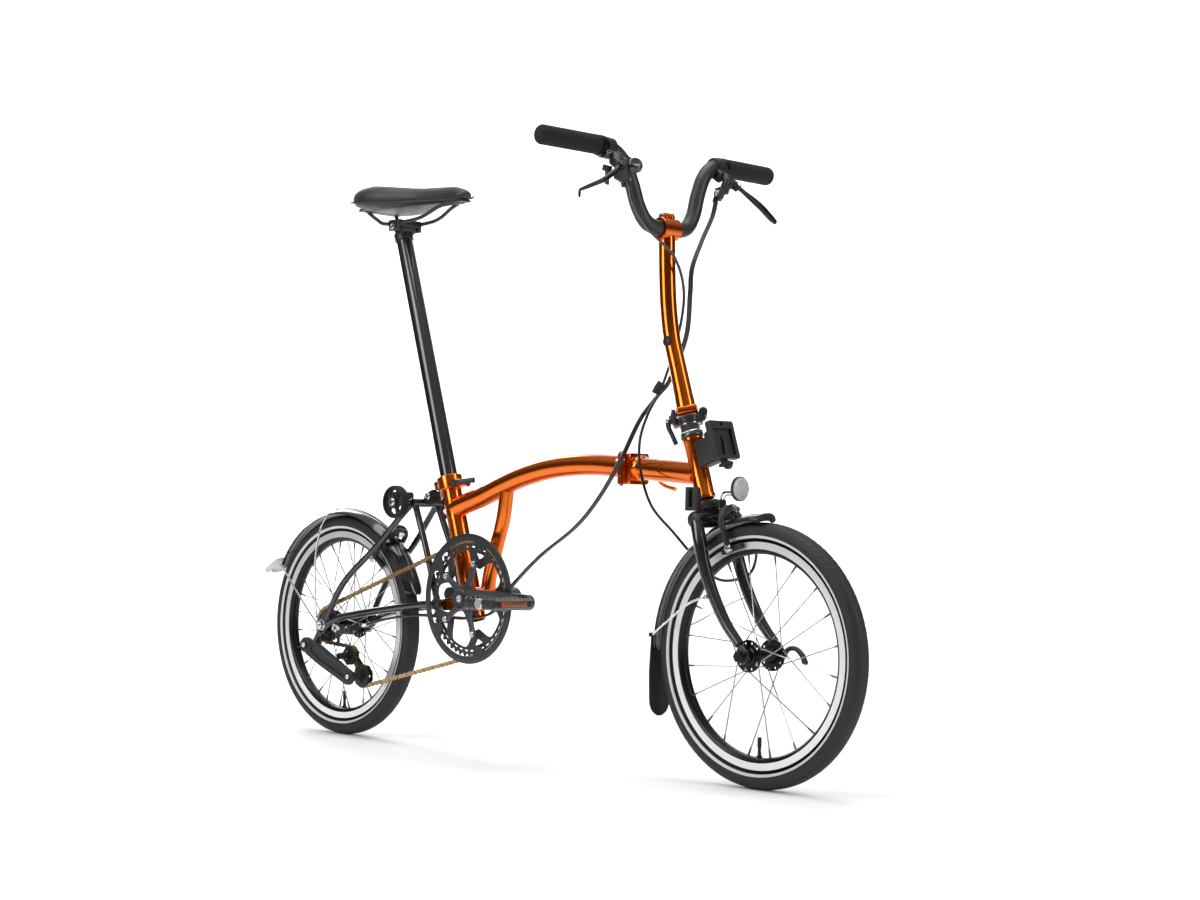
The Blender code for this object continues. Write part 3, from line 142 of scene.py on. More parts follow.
def surface(name, colour, roughness, metallic=0.0, tint=0.12, grain=900.0, bump=0.10, spread=0.10,
            cells=0.0, stretch=(1.0, 1.0, 1.0), height=0.0002, **fixed):
    """A procedural material: broad colour drift, fine roughness grain and a fine bump."""
    made = bpy.data.materials.new(name)
    made.use_nodes = True
    tree = made.node_tree
    shader = tree.nodes["Principled BSDF"]
    shader.inputs["Metallic"].default_value = metallic
    for socket, value in fixed.items():
        shader.inputs[socket.replace("_", " ")].default_value = value
    place = add_node(tree, "ShaderNodeTexCoord")
    scale = add_node(tree, "ShaderNodeMapping")
    scale.inputs["Scale"].default_value = stretch
    tree.links.new(place.outputs["Object"], scale.inputs["Vector"])
    broad = add_node(tree, "ShaderNodeTexNoise", Scale=9.0, Detail=3.0)
    fine = add_node(tree, "ShaderNodeTexNoise", Scale=grain, Detail=4.0)
    tree.links.new(place.outputs["Object"], broad.inputs["Vector"])
    tree.links.new(scale.outputs["Vector"], fine.inputs["Vector"])
    mix = add_node(tree, "ShaderNodeMix", data_type="RGBA")
    mix.inputs[6].default_value = scaled(colour, 1.0 - tint)
    mix.inputs[7].default_value = scaled(colour, 1.0 + tint)
    tree.links.new(broad.outputs["Fac"], mix.inputs[0])
    tree.links.new(mix.outputs[2], shader.inputs["Base Color"])
    rough = add_node(tree, "ShaderNodeMapRange")
    rough.inputs["To Min"].default_value = max(0.02, roughness - spread)
    rough.inputs["To Max"].default_value = roughness + spread
    tree.links.new(fine.outputs["Fac"], rough.inputs["Value"])
    tree.links.new(rough.outputs["Result"], shader.inputs["Roughness"])
    raised = fine.outputs["Fac"]
    if cells:
        voronoi = add_node(tree, "ShaderNodeTexVoronoi", Scale=cells)
        tree.links.new(scale.outputs["Vector"], voronoi.inputs["Vector"])
        raised = voronoi.outputs["Distance"]
    relief = add_node(tree, "ShaderNodeBump")
    relief.inputs["Strength"].default_value = bump
    relief.inputs["Distance"].default_value = height
    tree.links.new(raised, relief.inputs["Height"])
    tree.links.new(relief.outputs["Normal"], shader.inputs["Normal"])
    return made


ORANGE = surface("orange_lacquer_paint", (0.83, 0.155, 0.004), 0.17, 0.92, tint=0.10, grain=2600.0, bump=0.04,
                 spread=0.06, Coat_Weight=0.45, Coat_Roughness=0.03)
ENAMEL = surface("black_enamel_paint", (0.020, 0.022, 0.025), 0.18, 0.30, tint=0.15, grain=1800.0, bump=0.03,
                 spread=0.06, Coat_Weight=0.8, Coat_Roughness=0.05)
BAR_PAINT = surface("bar_black_paint", (0.030, 0.031, 0.034), 0.40, 0.25, tint=0.15, grain=2200.0, bump=0.08)
PLASTIC = surface("moulded_black_plastic", (0.014, 0.0145, 0.016), 0.48, tint=0.2, grain=1400.0, bump=0.25)
CASTING = surface("grey_black_casting", (0.024, 0.025, 0.028), 0.40, 0.30, tint=0.2, grain=1100.0, bump=0.20)
ANODISED = surface("black_anodised_alloy", (0.022, 0.023, 0.026), 0.30, 0.85, tint=0.2, grain=1500.0,
                   bump=0.08)
SILVER = surface("bright_alloy", (0.80, 0.81, 0.83), 0.20, 1.0, tint=0.06, grain=900.0, bump=0.05)
RIM_SILVER = surface("brushed_rim_alloy", (0.90, 0.91, 0.91), 0.34, 0.75, tint=0.05, grain=500.0, bump=0.10,
                     stretch=(1.0, 12.0, 1.0))
STEEL = surface("spoke_steel", (0.36, 0.36, 0.38), 0.24, 1.0, tint=0.05, grain=700.0, bump=0.02, spread=0.05)
CRANK_GREY = surface("forged_crank_grey", (0.085, 0.088, 0.094), 0.33, 0.80, tint=0.12, grain=1300.0,
                     bump=0.08)
RING_BLACK = surface("chainring_black", (0.05, 0.052, 0.056), 0.36, 0.60, tint=0.15, grain=1300.0, bump=0.08)
BRONZE = surface("oiled_chain_bronze", (0.50, 0.34, 0.17), 0.28, 0.95, tint=0.35, grain=400.0, bump=0.15)
DARK_STEEL = surface("dark_oiled_steel", (0.12, 0.11, 0.10), 0.35, 0.90, tint=0.3, grain=500.0, bump=0.10)
TYRE = surface("tyre_tread_rubber", (0.010, 0.010, 0.0105), 0.62, tint=0.25, grain=1000.0, bump=0.35)
RUBBER = surface("soft_black_rubber", (0.010, 0.010, 0.0105), 0.78, tint=0.25, grain=700.0, bump=0.5,
                 cells=900.0)
FOAM = surface("grip_foam", (0.009, 0.009, 0.0095), 0.92, tint=0.2, grain=1500.0, bump=0.8, cells=1500.0)
STRIPE = surface("reflective_stripe", (0.62, 0.63, 0.64), 0.35, tint=0.08, grain=1600.0, bump=0.2,
                 cells=1800.0)
COVER = surface("saddle_leathercloth", (0.014, 0.014, 0.015), 0.46, tint=0.2, grain=900.0, bump=0.45,
                cells=750.0,
                Sheen_Weight=0.15)
LENS = surface("clear_prism_lens", (0.90, 0.91, 0.92), 0.24, tint=0.05, grain=600.0, bump=0.9, cells=330.0,
               height=0.0006, Transmission_Weight=0.45, Coat_Weight=1.0)
RED_LENS = surface("red_prism_lens", (0.50, 0.012, 0.010), 0.15, tint=0.1, grain=600.0, bump=0.9, cells=300.0,
                   height=0.0006, Coat_Weight=1.0)
CLEAR_SHEET = surface("frosted_clear_sheet", (0.46, 0.47, 0.49), 0.22, tint=0.08, grain=500.0, bump=0.06,
                      IOR=1.4)
AMBER = surface("amber_prism_lens", (0.34, 0.075, 0.006), 0.16, tint=0.1, grain=600.0, bump=0.9, cells=330.0,
                height=0.0006, Coat_Weight=1.0)
FLOOR = surface("studio_floor", (0.93, 0.93, 0.93), 0.75, tint=0.01, grain=60.0, bump=0.02)
CABLE = surface("cable_housing", (0.010, 0.010, 0.011), 0.30, tint=0.15, grain=1200.0, bump=0.08,
                Coat_Weight=0.4)


# ---- shapes: each returns (vertices, faces) ----------------------------------------------------
def smooth(points, per_span=8):
    """A smooth curve through the points, read at even steps between each two."""
    ends = [points[0] * 2 - points[1]] + list(points) + [points[-1] * 2 - points[-2]]
    read = []
    for i in range(1, len(ends) - 2):
        a, b, c, d = ends[i - 1:i + 3]
        for step in range(per_span):
            t = step / per_span
            read.append(0.5 * (2 * b + (c - a) * t + (2 * a - 5 * b + 4 * c - d) * t ** 2
                               + (3 * b - a - 3 * c + d) * t ** 3))
    read.append(points[-1].copy())
    return read


def grid_faces(rows, columns, close_rows, close_columns):
    faces = []
    for i in range(rows if close_rows else rows - 1):
        for j in range(columns if close_columns else columns - 1):
            k, m = (i + 1) % rows, (j + 1) % columns
            faces.append((i * columns + j, i * columns + m, k * columns + m, k * columns + j))
    return faces


def pipe(points, radius, sides=TUBE_SIDES, closed=False, flat=1.0, up=None):
    """A tube along points. radius is one number or one for each point, in millimetres; flat squeezes
    the section across the direction given by up."""
    count = len(points)
    radii = [radius] * count if isinstance(radius, (int, float)) else list(radius)
    if len(radii) != count:
        radii = [float(np.interp(i / (count - 1), np.linspace(0, 1, len(radii)), radii))
                 for i in range(count)]
    tangents = []
    for i in range(count):
        before = points[i - 1] if (i or closed) else points[i]
        after = points[(i + 1) % count] if (i + 1 < count or closed) else points[i]
        tangents.append((after - before).normalized())
    side = tangents[0].cross(up or Y_AXIS)
    if side.length < 0.2:
        side = tangents[0].cross(X_AXIS)
    side.normalize()
    rows = []
    for i in range(count):
        if up is not None:
            side = tangents[i].cross(up).normalized()
        else:
            side = (side - tangents[i] * side.dot(tangents[i])).normalized()
        other = tangents[i].cross(side)
        rows.append((points[i], side, other, radii[i] * MM, tangents[i]))
    if not closed:
        chamfer = 0.10
        first, last = rows[0], rows[-1]
        lead = first[3] * chamfer
        tail = last[3] * chamfer
        rows[0] = (first[0] + first[4] * lead, first[1], first[2], first[3], first[4])
        rows[-1] = (last[0] - last[4] * tail, last[1], last[2], last[3], last[4])
        rows.insert(0, (first[0], first[1], first[2], first[3] - lead, first[4]))
        rows.append((last[0], last[1], last[2], last[3] - tail, last[4]))
    verts = []
    for centre, side, other, r, _ in rows:
        for j in range(sides):
            a = 2 * math.pi * j / sides
            verts.append(centre + side * (r * math.cos(a)) + other * (r * flat * math.sin(a)))
    faces = grid_faces(len(rows), sides, closed, True)
    if not closed:
        faces.append(tuple(range(sides))[::-1])
        faces.append(tuple(range(len(verts) - sides, len(verts))))
    return verts, faces


def rod(start, end, radius, sides=28):
    return pipe([start, start.lerp(end, 0.5), end], radius, sides)


def across(x, z, y_from, y_to, radius, sides=28):
    return rod(at(x, y_from, z), at(x, y_to, z), radius, sides)


def lathe(profile, centre, axis=Y_AXIS, steps=64, ring=True, wave=None):
    """A turned shape. profile is (radius, height) along the axis; ring closes it into a loop, else its
    ends sit on the axis. wave changes a radius by angle."""
    turn = turn_to(axis)
    verts = []
    for i in range(steps):
        a = 2 * math.pi * i / steps
        for radius, height in profile:
            r = radius if wave is None else wave(radius, height, a)
            local = Vector((r * MM * math.cos(a), r * MM * math.sin(a), height * MM))
            verts.append(centre + (turn @ local))
    faces = grid_faces(steps, len(profile), True, ring)
    if not ring:
        faces.append(tuple(i * len(profile) for i in range(steps)))
        faces.append(tuple((i + 1) * len(profile) - 1 for i in range(steps))[::-1])
    return verts, faces


def block(centre, size, turn=None, bevel=1.5, taper=1.0):
    """A block with rounded edges; taper narrows its top."""
    shape = bmesh.new()
    bmesh.ops.create_cube(shape, size=1.0)
    for vert in shape.verts:
        factor = taper if vert.co.z > 0 else 1.0
        vert.co = Vector((vert.co.x * size[0] * factor, vert.co.y * size[1] * factor,
                          vert.co.z * size[2])) * MM
    bmesh.ops.bevel(shape, geom=list(shape.edges), offset=min(bevel, min(size) * 0.3) * MM, segments=3,
                    affect="EDGES", profile=0.5)
    shape.transform(Matrix.Translation(centre) @ (turn or Matrix()))
    verts = [v.co.copy() for v in shape.verts]
    shape.verts.index_update()
    faces = [tuple(v.index for v in f.verts) for f in shape.faces]
    shape.free()
    return verts, faces


def slab(outline, thickness, place, holes=(), bevel=0.6):
    """A plate with rounded edges: outlines are lists of (u, v) in millimetres, place is its middle."""
    curve = bpy.data.curves.new("slab", "CURVE")
    curve.dimensions = "2D"
    curve.fill_mode = "BOTH"
    curve.extrude = max(0.05, thickness / 2 - bevel)
    curve.bevel_depth = bevel
    curve.bevel_resolution = 1
    curve.offset = -bevel
    for loop in [outline] + list(holes):
        line = curve.splines.new("POLY")
        line.points.add(len(loop) - 1)
        for (u, v), point in zip(loop, line.points):
            point.co = (u, v, 0.0, 1.0)
        line.use_cyclic_u = True
    guide = bpy.data.objects.new("slab", curve)
    bpy.context.scene.collection.objects.link(guide)
    bpy.context.view_layer.update()
    mesh = bpy.data.meshes.new_from_object(guide.evaluated_get(bpy.context.evaluated_depsgraph_get()))
    bpy.data.objects.remove(guide, do_unlink=True)
    verts = [place @ (v.co * MM) for v in mesh.vertices]
    faces = [tuple(p.vertices) for p in mesh.polygons]
    bpy.data.meshes.remove(mesh)
    return verts, faces


SIDEWAYS = Matrix.Rotation(math.radians(90), 4, "X")


def side_slab(outline, y_from, y_to, holes=(), bevel=0.6):
    """A plate that faces sideways, outlined by (x, z) in the bicycle's millimetres."""
    centre = at(0.0, (y_from + y_to) / 2, 0.0)
    return slab(outline, abs(y_to - y_from), Matrix.Translation(centre) @ SIDEWAYS, holes, bevel)


def circle(x, z, radius, sides=48, start=0.0):
    steps = [start + 2 * math.pi * i / sides for i in range(sides)]
    return [(x + radius * math.cos(a), z + radius * math.sin(a)) for a in steps]


def rounded(points, radius=4.0, steps=5):
    """An outline with its corners rounded."""
    made = []
    count = len(points)
    for i in range(count):
        a, b, c = (Vector(points[(i + k) % count]) for k in (-1, 0, 1))
        reach = min(radius, (a - b).length * 0.45, (c - b).length * 0.45)
        start = b + (a - b).normalized() * reach
        end = b + (c - b).normalized() * reach
        for step in range(steps + 1):
            t = step / steps
            made.append(tuple(start * (1 - t) ** 2 + b * 2 * t * (1 - t) + end * t ** 2))
    return made


def bolt(centre, axis, radius=4.0, height=3.0, hole=0.5):
    """A round socket-headed bolt: a chamfered head with a hollow in its top."""
    deep = -height * 0.4
    profile = [(radius, -height), (radius, -0.5), (radius - 0.6, 0.0), (radius * hole + 0.2, 0.0),
               (radius * hole, deep), (0.05, deep)]
    return lathe(profile, centre, axis, 24, ring=False)


def nut(centre, axis, radius, height):
    profile = [(radius - 0.8, -height / 2), (radius, -height / 2 + 0.7), (radius, height / 2 - 0.7),
               (radius - 0.8, height / 2)]
    return lathe(profile, centre, axis, 6, ring=False)


# ---- pieces -----------------------------------------------------------------------------------
def piece(name, lumps, material, body=None, stands_for=(), sharp=38.0):
    """One shown mesh from its lumps, riding on a body and standing for CAD nodes."""
    verts, faces = [], []
    for more_verts, more_faces in lumps:
        base = len(verts)
        verts += [tuple(v) for v in more_verts]
        faces += [tuple(base + i for i in face) for face in more_faces]
    mesh = bpy.data.meshes.new(name)
    mesh.from_pydata(verts, [], faces)
    mesh.validate()
    shape = bmesh.new()
    shape.from_mesh(mesh)
    bmesh.ops.recalc_face_normals(shape, faces=shape.faces)
    shape.to_mesh(mesh)
    shape.free()
    mesh.shade_smooth()
    mesh.set_sharp_from_angle(angle=math.radians(sharp))
    mesh.materials.append(material)
    made = bpy.data.objects.new(name, mesh)
    bpy.context.scene.collection.objects.link(made)
    if body:
        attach(made, body)
    if stands_for:
        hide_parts(*stands_for)
    return made


# ---- wheels -----------------------------------------------------------------------------------
TYRE_MIDDLE_R = 193.0
TYRE_HALF_HEIGHT = 15.0
TYRE_HALF_WIDTH = 17.0
TREAD_BLOCKS = 96


def tread_wave(radius, height, angle):
    """Cuts a central groove, two side grooves and slanted sipes into the tread."""
    width = abs(height)
    if radius < TYRE_MIDDLE_R + 6.0:
        return radius
    depth = 0.0
    if width < 0.9 or abs(width - 6.4) < 0.7:
        depth = 1.0
    slant = (angle / (2 * math.pi) * TREAD_BLOCKS + width * 0.11) % 1.0
    if 6.4 < width < 13.5 and slant < 0.24:
        depth = 1.1
    return radius - depth


def make_tyre(end, axle):
    body = end + "_wheel"
    centre = at(axle[0], 0, axle[1])
    profile = []
    for i in range(56):
        a = 2 * math.pi * i / 56
        c, s = math.cos(a), math.sin(a)
        bulge = TYRE_HALF_WIDTH * (abs(s) ** 0.92) * (1 if s > 0 else -1)
        if c < 0:
            bulge *= 1.0 - 0.26 * abs(c) ** 2
        profile.append((TYRE_MIDDLE_R + TYRE_HALF_HEIGHT * c - (1.0 if c < -0.95 else 0.0), -bulge))
    piece(end + "_tyre_tread", [lathe(profile, centre, Y_AXIS, 480, wave=tread_wave)], TYRE, body,
          [end + "_tyre"], sharp=60.0)
    stripes = []
    for side in (-1, 1):
        band = [(183.2, side * 13.7), (183.2, side * 14.4), (185.2, side * 15.5), (187.4, side * 16.3),
                (187.4, side * 15.6)]
        stripes.append(lathe(band, centre, Y_AXIS, 160))
    piece(end + "_tyre_stripes", stripes, STRIPE, body)


def make_rim(end, axle):
    body = end + "_wheel"
    centre = at(axle[0], 0, axle[1])
    half = [(178.6, 11.5), (178.9, 11.1), (178.6, 10.6), (174.0, 10.4), (172.0, 9.0), (171.4, 0.0)]
    inner = [(158.0, 0.0), (158.6, 5.0), (161.0, 8.6), (165.6, 11.2), (177.8, 11.3)]
    profile = half + [(r, -y) for r, y in half[-2::-1]] + [(r, -y) for r, y in inner[::-1]] + inner[1:]
    piece(end + "_rim_profile", [lathe(profile, centre, Y_AXIS, 240)], ANODISED, body, [end + "_rim"],
          sharp=50.0)
    tracks = [lathe([(177.6, side * 11.1), (177.4, side * 11.7), (166.4, side * 11.7), (166.1, side * 11.1)],
                    centre,
                    Y_AXIS, 240) for side in (-1, 1)]
    piece(end + "_brake_tracks", tracks, RIM_SILVER, body)
    foot = at(axle[0], 0, axle[1] - 159.0)
    stem = lathe([(3.1, 0), (3.1, 8), (2.7, 9), (2.7, 16), (3.3, 17), (3.3, 30), (2.6, 32), (0.1, 32)], foot,
                 Z_AXIS, 20, ring=False)
    piece(end + "_valve", [stem, nut(foot + Z_AXIS * 0.002, Z_AXIS, 5.0, 3.0)], RUBBER, body)


def make_spokes(end, axle, count, flanges, hub_r, swing):
    """Crossed spokes: they leave the flanges aslant, in turn forwards and backwards."""
    spokes, nipples = [], []
    for i in range(count):
        rim_angle = 360.0 * (i + 0.5) / count
        side = flanges[i % 2]
        lean = swing if (i // 2) % 2 else -swing
        inner = on_wheel(axle, hub_r, rim_angle + lean, side)
        outer = on_wheel(axle, 158.5, rim_angle, side * 0.10)
        outward = math.copysign(2.2, side)
        hook = on_wheel(axle, hub_r, rim_angle + lean, side + outward)
        spokes.append(pipe([hook, inner.lerp(outer, 0.02), inner.lerp(outer, 0.5), outer], 1.0, 8))
        spokes.append(lathe([(1.9, 0), (1.9, 0.7), (0.05, 1.0)], hook, Y_AXIS * math.copysign(1.0, side), 10,
                            ring=False))
        toward = inner.lerp(outer, 0.91)
        nipples.append(pipe([toward, toward.lerp(outer, 0.5), outer], [1.3, 1.7, 1.9], 10))
    piece(end + "_spokes", spokes, STEEL, end + "_wheel")
    piece(end + "_spoke_nipples", nipples, DARK_STEEL, end + "_wheel")


def flange(axle, y, radius, holes, hole_r, thickness=3.0):
    rim = circle(axle[0], axle[1], radius, 72)
    cuts = [circle(axle[0], axle[1], 9.0, 32)[::-1]]
    for i in range(holes):
        a = 2 * math.pi * i / holes
        cuts.append(circle(axle[0] + (radius - 4.6) * math.cos(a), axle[1] + (radius - 4.6) * math.sin(a),
                           hole_r, 12)[::-1])
    return side_slab(rim, y - thickness / 2, y + thickness / 2, cuts, 0.4)


def make_front_hub():
    centre = at(FRONT_AXLE[0], 0, FRONT_AXLE[1])
    shell = [(5.6, 37), (10.4, 37), (11.4, 36), (11.4, 31), (14.5, 30), (14.5, 27), (11.0, 21), (9.6, 10),
             (9.6, -10), (11.0, -21), (14.5, -27), (14.5, -30), (11.4, -31), (11.4, -36), (10.4, -37),
             (5.6, -37)]
    lumps = [lathe(shell, centre, Y_AXIS, 48), flange(FRONT_AXLE, 28, 25.5, 10, 2.2),
             flange(FRONT_AXLE, -28, 25.5, 10, 2.2)]
    piece("front_hub_shell", lumps, ANODISED, "front_wheel", ["front_hub"])
    make_spokes("front", FRONT_AXLE, 20, (28.0, -28.0), 21.0, 58.0)


def make_rear_hub():
    centre = at(REAR_AXLE[0], 0, REAR_AXLE[1])
    shell = [(5.6, 49.4), (10.4, 49.4), (11.4, 48), (11.4, 36), (17, 34), (17, 30), (15, 24), (14, 6),
             (14, -10),
             (15, -18), (17, -22), (17, -26), (11.6, -28), (11.6, -48.6), (10.4, -49.4), (5.6, -49.4)]
    lumps = [lathe(shell, centre, Y_AXIS, 48), flange(REAR_AXLE, 32, 26.5, 14, 2.2),
             flange(REAR_AXLE, -24, 26.5, 14, 2.2)]
    piece("rear_hub_shell", lumps, ANODISED, "rear_wheel", ["rear_hub"])
    make_spokes("rear", REAR_AXLE, 28, (32.0, -24.0), 22.0, 50.0)


for wheel_end, wheel_axle in (("front", FRONT_AXLE), ("rear", REAR_AXLE)):
    make_tyre(wheel_end, wheel_axle)
    make_rim(wheel_end, wheel_axle)
make_front_hub()
make_rear_hub()


# ---- frame tubes ------------------------------------------------------------------------------
def turned(x_line, y_line, z_line):
    return Matrix((x_line, y_line, z_line)).transposed().to_4x4()


HEAD_TURN = turned(HEAD_FORWARD, Y_AXIS, HEAD_UP)
STEM_TURN = turned(STEM_SIDE, STEM_FOLD_AXIS, HEAD_UP)
FACING_FORWARD = turned(Y_AXIS, Z_AXIS, X_AXIS)


def head_place(z, forward=0.0, y=0.0, up=0.0):
    return on_head(z, y) + (HEAD_FORWARD * forward + HEAD_UP * up) * MM


def route(points, per_span=8):
    return smooth([at(*p) for p in points], per_span)


def mirrored(points, side):
    """Points written as (x, z, y) for the left side, moved to one side."""
    return [(x, side * y, z) for x, z, y in points]


def front_plate(y_from, y_to, z_from, z_to, x_from, x_to, corner=6.0, holes=()):
    """A plate that faces forwards."""
    outline = rounded([(y_from, z_from), (y_to, z_from), (y_to, z_to), (y_from, z_to)], corner)
    middle = Matrix.Translation(at((x_from + x_to) / 2, 0, 0))
    return slab(outline, x_to - x_from, middle @ FACING_FORWARD, holes, 0.9)


def upright_knuckle(z_from, z_to, radius=7.0):
    return rod(at(HINGE_X, HINGE_PIN_Y, z_from), at(HINGE_X, HINGE_PIN_Y, z_to), radius, 32)


REAR_TUBE = [(316, 0, 431), (345, 0, 441), (390, 0, 454), (446, 0, 474), (500, 0, 490), (560, 0, 502),
             (620, 0, 507.5), (680, 0, 508), (752, 0, 503.5)]
FRONT_TUBE = [(772, 0, 502.5), (800, 0, 500), (840, 0, 497), (908, 0, 492)]
TUBE_R = 18.5

piece("main_tube_rear_lacquer", [
    pipe(route(REAR_TUBE, 12), TUBE_R, 48),
    front_plate(-23.5, 22, 474.5, 526.5, 747.2, 761.5),
    upright_knuckle(474.7, 487.8), upright_knuckle(513.2, 526.3),
    lathe([(18.5, -9), (20.5, -7), (21.5, 0), (22.0, 4), (17.0, 4), (17.0, -9)], at(745, 0, 504), X_AXIS, 40),
], ORANGE, "main_frame", ["main_tube_rear"])
piece("main_tube_front_lacquer", [
    pipe(route(FRONT_TUBE, 12), TUBE_R, 48),
    front_plate(-23.5, 22, 474.5, 526.5, 762.5, 776.8),
    upright_knuckle(488.9, 512.1),
    lathe([(17.0, -4), (22.0, -4), (21.5, 0), (20.5, 7), (18.5, 9), (17.0, 9)], at(779, 0, 502), X_AXIS, 40),
], ORANGE, "front_frame", ["main_tube_front"])
piece("main_hinge_pin_steel", [
    lathe([(3.4, 0), (5.2, 0.6), (5.2, 2.4), (4.4, 3.0), (0.1, 3.0)], at(HINGE_X, HINGE_PIN_Y, 526.2), Z_AXIS,
          24, False),
    rod(at(HINGE_X, HINGE_PIN_Y, 472.2), at(HINGE_X, HINGE_PIN_Y, 528), 3.4, 24),
], DARK_STEEL, "main_frame", ["main_hinge_pin"])

HINGE_HANDLE = [(762, 40, 500), (776, 42, 486), (796, 40, 474), (824, 36, 468)]
piece("main_hinge_clamp_plate", [
    front_plate(22.9, 28.9, 484, 517, 744.5, 779.5, 2.5),
    block(at(762, 27.3, 500.5), (36, 3.4, 34), bevel=1.6),
    block(at(746, 24.5, 500.5), (5, 7, 30), bevel=1.6), block(at(778, 24.5, 500.5), (5, 7, 30), bevel=1.6),
], ORANGE, "main_hinge_clamp", ["main_hinge_clamp"])
piece("main_hinge_clamp_nut", [nut(at(762, 31.5, 500), Y_AXIS, 8.4, 4.5)], DARK_STEEL, "main_hinge_clamp")
piece("main_hinge_clamp_bolt", [across(762, 500, 24, 43, 4.2), bolt(at(762, 43.6, 500), Y_AXIS, 5.6, 3.0)],
      SILVER, "main_hinge_clamp")
piece("main_hinge_lever", [
    pipe(route(HINGE_HANDLE, 10), [5.0, 3.4, 3.2, 3.2, 3.6], 24),
    lathe([(3.8, -5), (7.4, -4.4), (8.0, 0), (7.4, 4.4), (3.8, 5)], at(762, 38.6, 500), Y_AXIS, 32),
], ORANGE, "main_hinge_clamp")

# seat tube, strut and bottom bracket
seat_ring = [(16.3, 245), (16.3, 486), (18.0, 485.6), (18.0, 300), (18.0, 234), (17.2, 232.4), (16.3, 232.4)]
seat_profile = []
for ring_r, ring_z in seat_ring:
    along = (on_seat(ring_z) - on_seat(400)).dot(SEAT_UP) / MM
    seat_profile.append((ring_r, along))
piece("seat_tube_lacquer", [lathe(seat_profile, on_seat(400), SEAT_UP, 48)], ORANGE, "main_frame",
      ["seat_tube"])
STRUT = [(452, 0, 470), (443, 0, 415), (427, 0, 368), (411, 0, 318), (404, 0, 285)]
bracket_shell = [(17.4, -34), (19.2, -34), (20, -33), (20, 33), (19.2, 34), (17.4, 34)]
plates = []
for side in (-1, 1):
    low, high = sorted((side * 18.8, side * 22.4))
    web = rounded([(398, 288), (418, 262), (398, 254), (312, 247.5), (296, 250), (295, 266), (312, 268.5)],
                  7.0)
    plates.append(side_slab(web, low, high, [circle(352, 264, 5.0, 24)[::-1]]))
    plates.append(lathe([(5.2, -1.6), (10.6, -1.6), (11, -1), (11, 1), (10.6, 1.6), (5.2, 1.6)],
                        at(PIVOT[0], side * 20.8, PIVOT[1]), Y_AXIS, 32))
piece("bottom_bracket_lacquer", [
    lathe(bracket_shell, at(BRACKET[0], 0, BRACKET[1]), Y_AXIS, 48), pipe(route(STRUT, 10), 13.0, 40),
    *plates,
], ORANGE, "main_frame", ["bottom_bracket"])
piece("bottom_bracket_cups", [
    lathe([(9.0, -0.8), (17.2, -0.8), (17.2, 3.6), (15.4, 4.2), (9.0, 4.2)],
          at(BRACKET[0], side * 33.2, BRACKET[1]),
          Y_AXIS * side, 12) for side in (-1, 1)
] + [across(PIVOT[0], PIVOT[1], -37, 37, 5.0)] + [
    bolt(at(PIVOT[0], side * 38.0, PIVOT[1]), Y_AXIS * side, 8.0, 3.4, 0.45) for side in (-1, 1)
], ANODISED, "main_frame")

# seat clamp
collar = [(18.4, -12), (22.2, -12), (23.2, -11), (23.5, 0), (23.2, 11), (22.2, 12), (18.4, 12)]
piece("seat_clamp_collar", [
    lathe(collar, on_seat(477), SEAT_UP, 48),
    block(on_seat(474) - X_AXIS * 0.029, (20, 16, 16), HEAD_TURN, 3.5),
    block(on_seat(477) + X_AXIS * 0.026, (18, 22, 14), HEAD_TURN, 3.5),
], ORANGE, "main_frame", ["seat_clamp"])
clamp_hub = on_seat(477) + X_AXIS * 0.030
piece("seat_clamp_quick_lever", [
    lathe([(3.2, -19.5), (6.6, -19.3), (7.2, -18), (7.2, -12.4), (6.4, -11.7), (3.2, -11.7)], clamp_hub,
          Y_AXIS, 32),
    pipe(smooth([clamp_hub + Vector(p) * MM for p in ((0, -15, 0), (12, -16, 1), (22, -12, 4), (40, -4, 6))],
                8),
         [6.0, 5.0, 4.2, 4.2, 5.2], 24, flat=0.7),
    lathe([(3.2, 11.4), (6.4, 11.4), (6.4, 17.6), (5.4, 18.4), (3.2, 18.4)], clamp_hub, Y_AXIS, 6),
], CASTING, "seat_clamp_lever", ["seat_clamp_lever"])
piece("seat_clamp_bolt", [
    lathe([(0.1, -20.4), (3.0, -20.4), (3.0, 19.6), (0.1, 19.6)], clamp_hub, Y_AXIS, 24, False),
], SILVER, "seat_clamp_lever")

# head tube and carrier block
head_profile = [(14.3, -48), (16.6, -48), (16.9, -44), (15.8, -40), (15.8, 44), (16.9, 48), (16.6, 53),
                (14.3, 53)]
piece("head_tube_lacquer", [
    lathe(head_profile, on_head(498), HEAD_UP, 48),
], ORANGE, "front_frame", ["head_tube"])
face_outline = rounded([(-29, -30), (29, -30), (29, 33), (-29, 33)], 4.0)
face_recess = rounded([(-21, -24), (-5, -24), (-2, 2), (2, 2), (5, -24), (21, -24), (21, 20), (-21, 20)], 2.5)
face_turn = turned(Y_AXIS, HEAD_UP, HEAD_FORWARD)
face_place = Matrix.Translation(head_place(526, 63.0)) @ face_turn
back_place = Matrix.Translation(head_place(526, 58.0)) @ face_turn
piece("carrier_block_face", [
    slab(face_outline, 5.4, face_place, [face_recess[::-1], circle(0, 27, 3.0, 20)[::-1]], 1.0),
    slab(rounded([(-29, -30), (29, -30), (29, 33), (-29, 33)], 4.0), 4.6, back_place, (), 1.0),
    block(head_place(526, 62.0, 0, -8), (6.0, 7.0, 34.0), HEAD_TURN, 1.2, 0.6),
    block(head_place(519, 33.0), (44, 29, 44), HEAD_TURN, 5.0),
    block(head_place(521, 48.0, 0, 2), (18, 40, 48), HEAD_TURN, 5.0),
], PLASTIC, "front_frame", ["carrier_block"])
